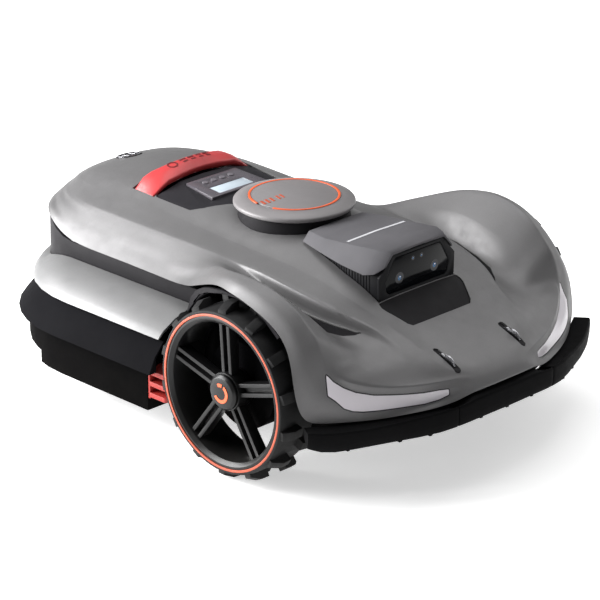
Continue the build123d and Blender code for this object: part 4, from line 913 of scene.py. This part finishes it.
# lens irises: glowing blue discs, the glow a painted reflection
piece("lens_irises", irises, "lens_blue_glow", node_body["camera_glass"])
# lens glints: small glowing white spots, painted highlights on the window
piece("lens_glints", glints, "glint_glow", node_body["camera_glass"])
HOODT = [(-70, 52, 271), (-30, 61, 273), (20, 62, 277.5), (61, 61, 282), (76, 56, 281), (85, 51, 279.5)]


def hood_z(x, y):
    for p, q in zip(HOODT[:-1], HOODT[1:]):
        if p[0] <= x <= q[0]:
            t = (x - p[0]) / (q[0] - p[0])
            w, z = p[1] + (q[1] - p[1]) * t, p[2] + (q[2] - p[2]) * t
            return z + 1.2 * (1 - min(1.0, abs(y) / w))


def on_hood(x0, x1, y0, y1, skew=0.0):
    out = []
    ys = [y0 + (y1 - y0) * k / 8 for k in range(9)]
    for a, c in zip(ys[:-1], ys[1:]):
        pts = [(x0, a, hood_z(x0, a)), (x1, a, hood_z(x1, a)), (x1, c, hood_z(x1, c)), (x0, c, hood_z(x0, c))]
        out.append(prism_obj(pts, (0, 0, 1), 0.28))
    return out


piece("hood_bar", on_hood(BAR[0], BAR[1], BAR[2], BAR[3]), "light_mark", node_body["camera_hood"])

# dark lip lining each wheel arch
LIP = [(-147, 208, 172), (-123, 222, 206), (-103, 230.5, 224), (-83, 238, 235), (-66, 243, 241), (-32, 250, 248.5), (1, 256, 251), (29, 258, 250), (60, 261, 239), (86, 263, 222)]
for s in (-1, 1):
    vs, fs = [], []
    for x, y, z in LIP:
        r = hypot(x, z - 124)
        ux, uz = x / r, (z - 124) / r
        d = max(1.5, min(6.0, r - 125.6))
        for dy, dr in ((-1.0, 1.0), (-1.0, -d), (-5.0, -d), (-5.0, 1.0)):
            vs.append((x + ux * dr, s * (y + dy), z + uz * dr))
    n = len(LIP)
    for i in range(n - 1):
        for j in range(4):
            fs.append((4 * i + j, 4 * i + (j + 1) % 4, 4 * i + 4 + (j + 1) % 4, 4 * i + 4 + j))
    fs += [(0, 1, 2, 3), tuple(4 * (n - 1) + j for j in (3, 2, 1, 0))]
    new_mesh("arch_lip_" + ("left" if s > 0 else "right"), vs, fs, "dark", "chassis", True, None, sharp=40)

for n_, o_ in N.items():
    kind = {"battery_pack": "board", "control_unit": "board", "drive_motors": "chassis", "blade_motor": "alu", "lift_motor": "alu", "lift_screw": "steel",
            "deck_guide_rods": "steel", "chassis_screws": "steel", "blade_screws": "steel", "blade_disc": "alu", "blade_1": "steel", "blade_2": "steel",
            "blade_3": "steel", "skid_plate": "dark", "deck_housing": "chassis", "camera_lenses": "lensdark", "caster_fork_left": "dark",
            "caster_fork_right": "dark", "caster_wheel_left": "rubber", "caster_wheel_right": "rubber", "button_power": "button",
            "button_home": "button", "button_start": "button", "button_ok": "button"}.get(n_)
    if kind:
        slots(o_, kind)

# ------------------------------------------------------------------ studio
bpy.ops.mesh.primitive_plane_add(size=14, location=(0, 0, 0))
floor = bpy.context.object
floor.name = "studio_floor_plane"
slots(floor, "floor")

scene.view_settings.view_transform = "Standard"
world = bpy.data.worlds.new("studio")
scene.world = world
world.use_nodes = True
bg = world.node_tree.nodes["Background"]
bg.inputs[0].default_value = (1, 1, 1, 1)
bg.inputs[1].default_value = 0.20


def area(name, loc, target, size, power, sy=None):
    l = bpy.data.lights.new(name, "AREA")
    l.energy = power
    l.size = size
    if sy:
        l.shape = "RECTANGLE"
        l.size_y = sy
    o = bpy.data.objects.new(name, l)
    scene.collection.objects.link(o)
    o.location = loc
    o.rotation_mode = "QUATERNION"
    o.rotation_quaternion = (Vector(target) - Vector(loc)).to_track_quat("-Z", "Y")
    return o


area("key_left", (-2.1, -1.9, 1.25), (-0.1, 0, 0.15), 2.4, 290)
area("top_soft", (-0.1, 0.5, 2.2), (0.1, 0, 0), 1.8, 22)
area("back_rim", (0.2, 2.2, 1.2), (0.1, 0, 0.2), 1.8, 14)

cam_data = bpy.data.cameras.new("camera")
cam_data.sensor_width = 36
cam_data.lens = 180
cam_data.clip_start, cam_data.clip_end = 0.1, 60
cam = bpy.data.objects.new("camera", cam_data)
scene.collection.objects.link(cam)
back = Vector((0.6574, -0.6551, 0.3723)).normalized()
cam.location = (2.61429 + OX * MM, -2.74333, 1.69463)
cam.rotation_mode = "QUATERNION"
cam.rotation_quaternion = (-back).to_track_quat("-Z", "Y")
scene.camera = cam
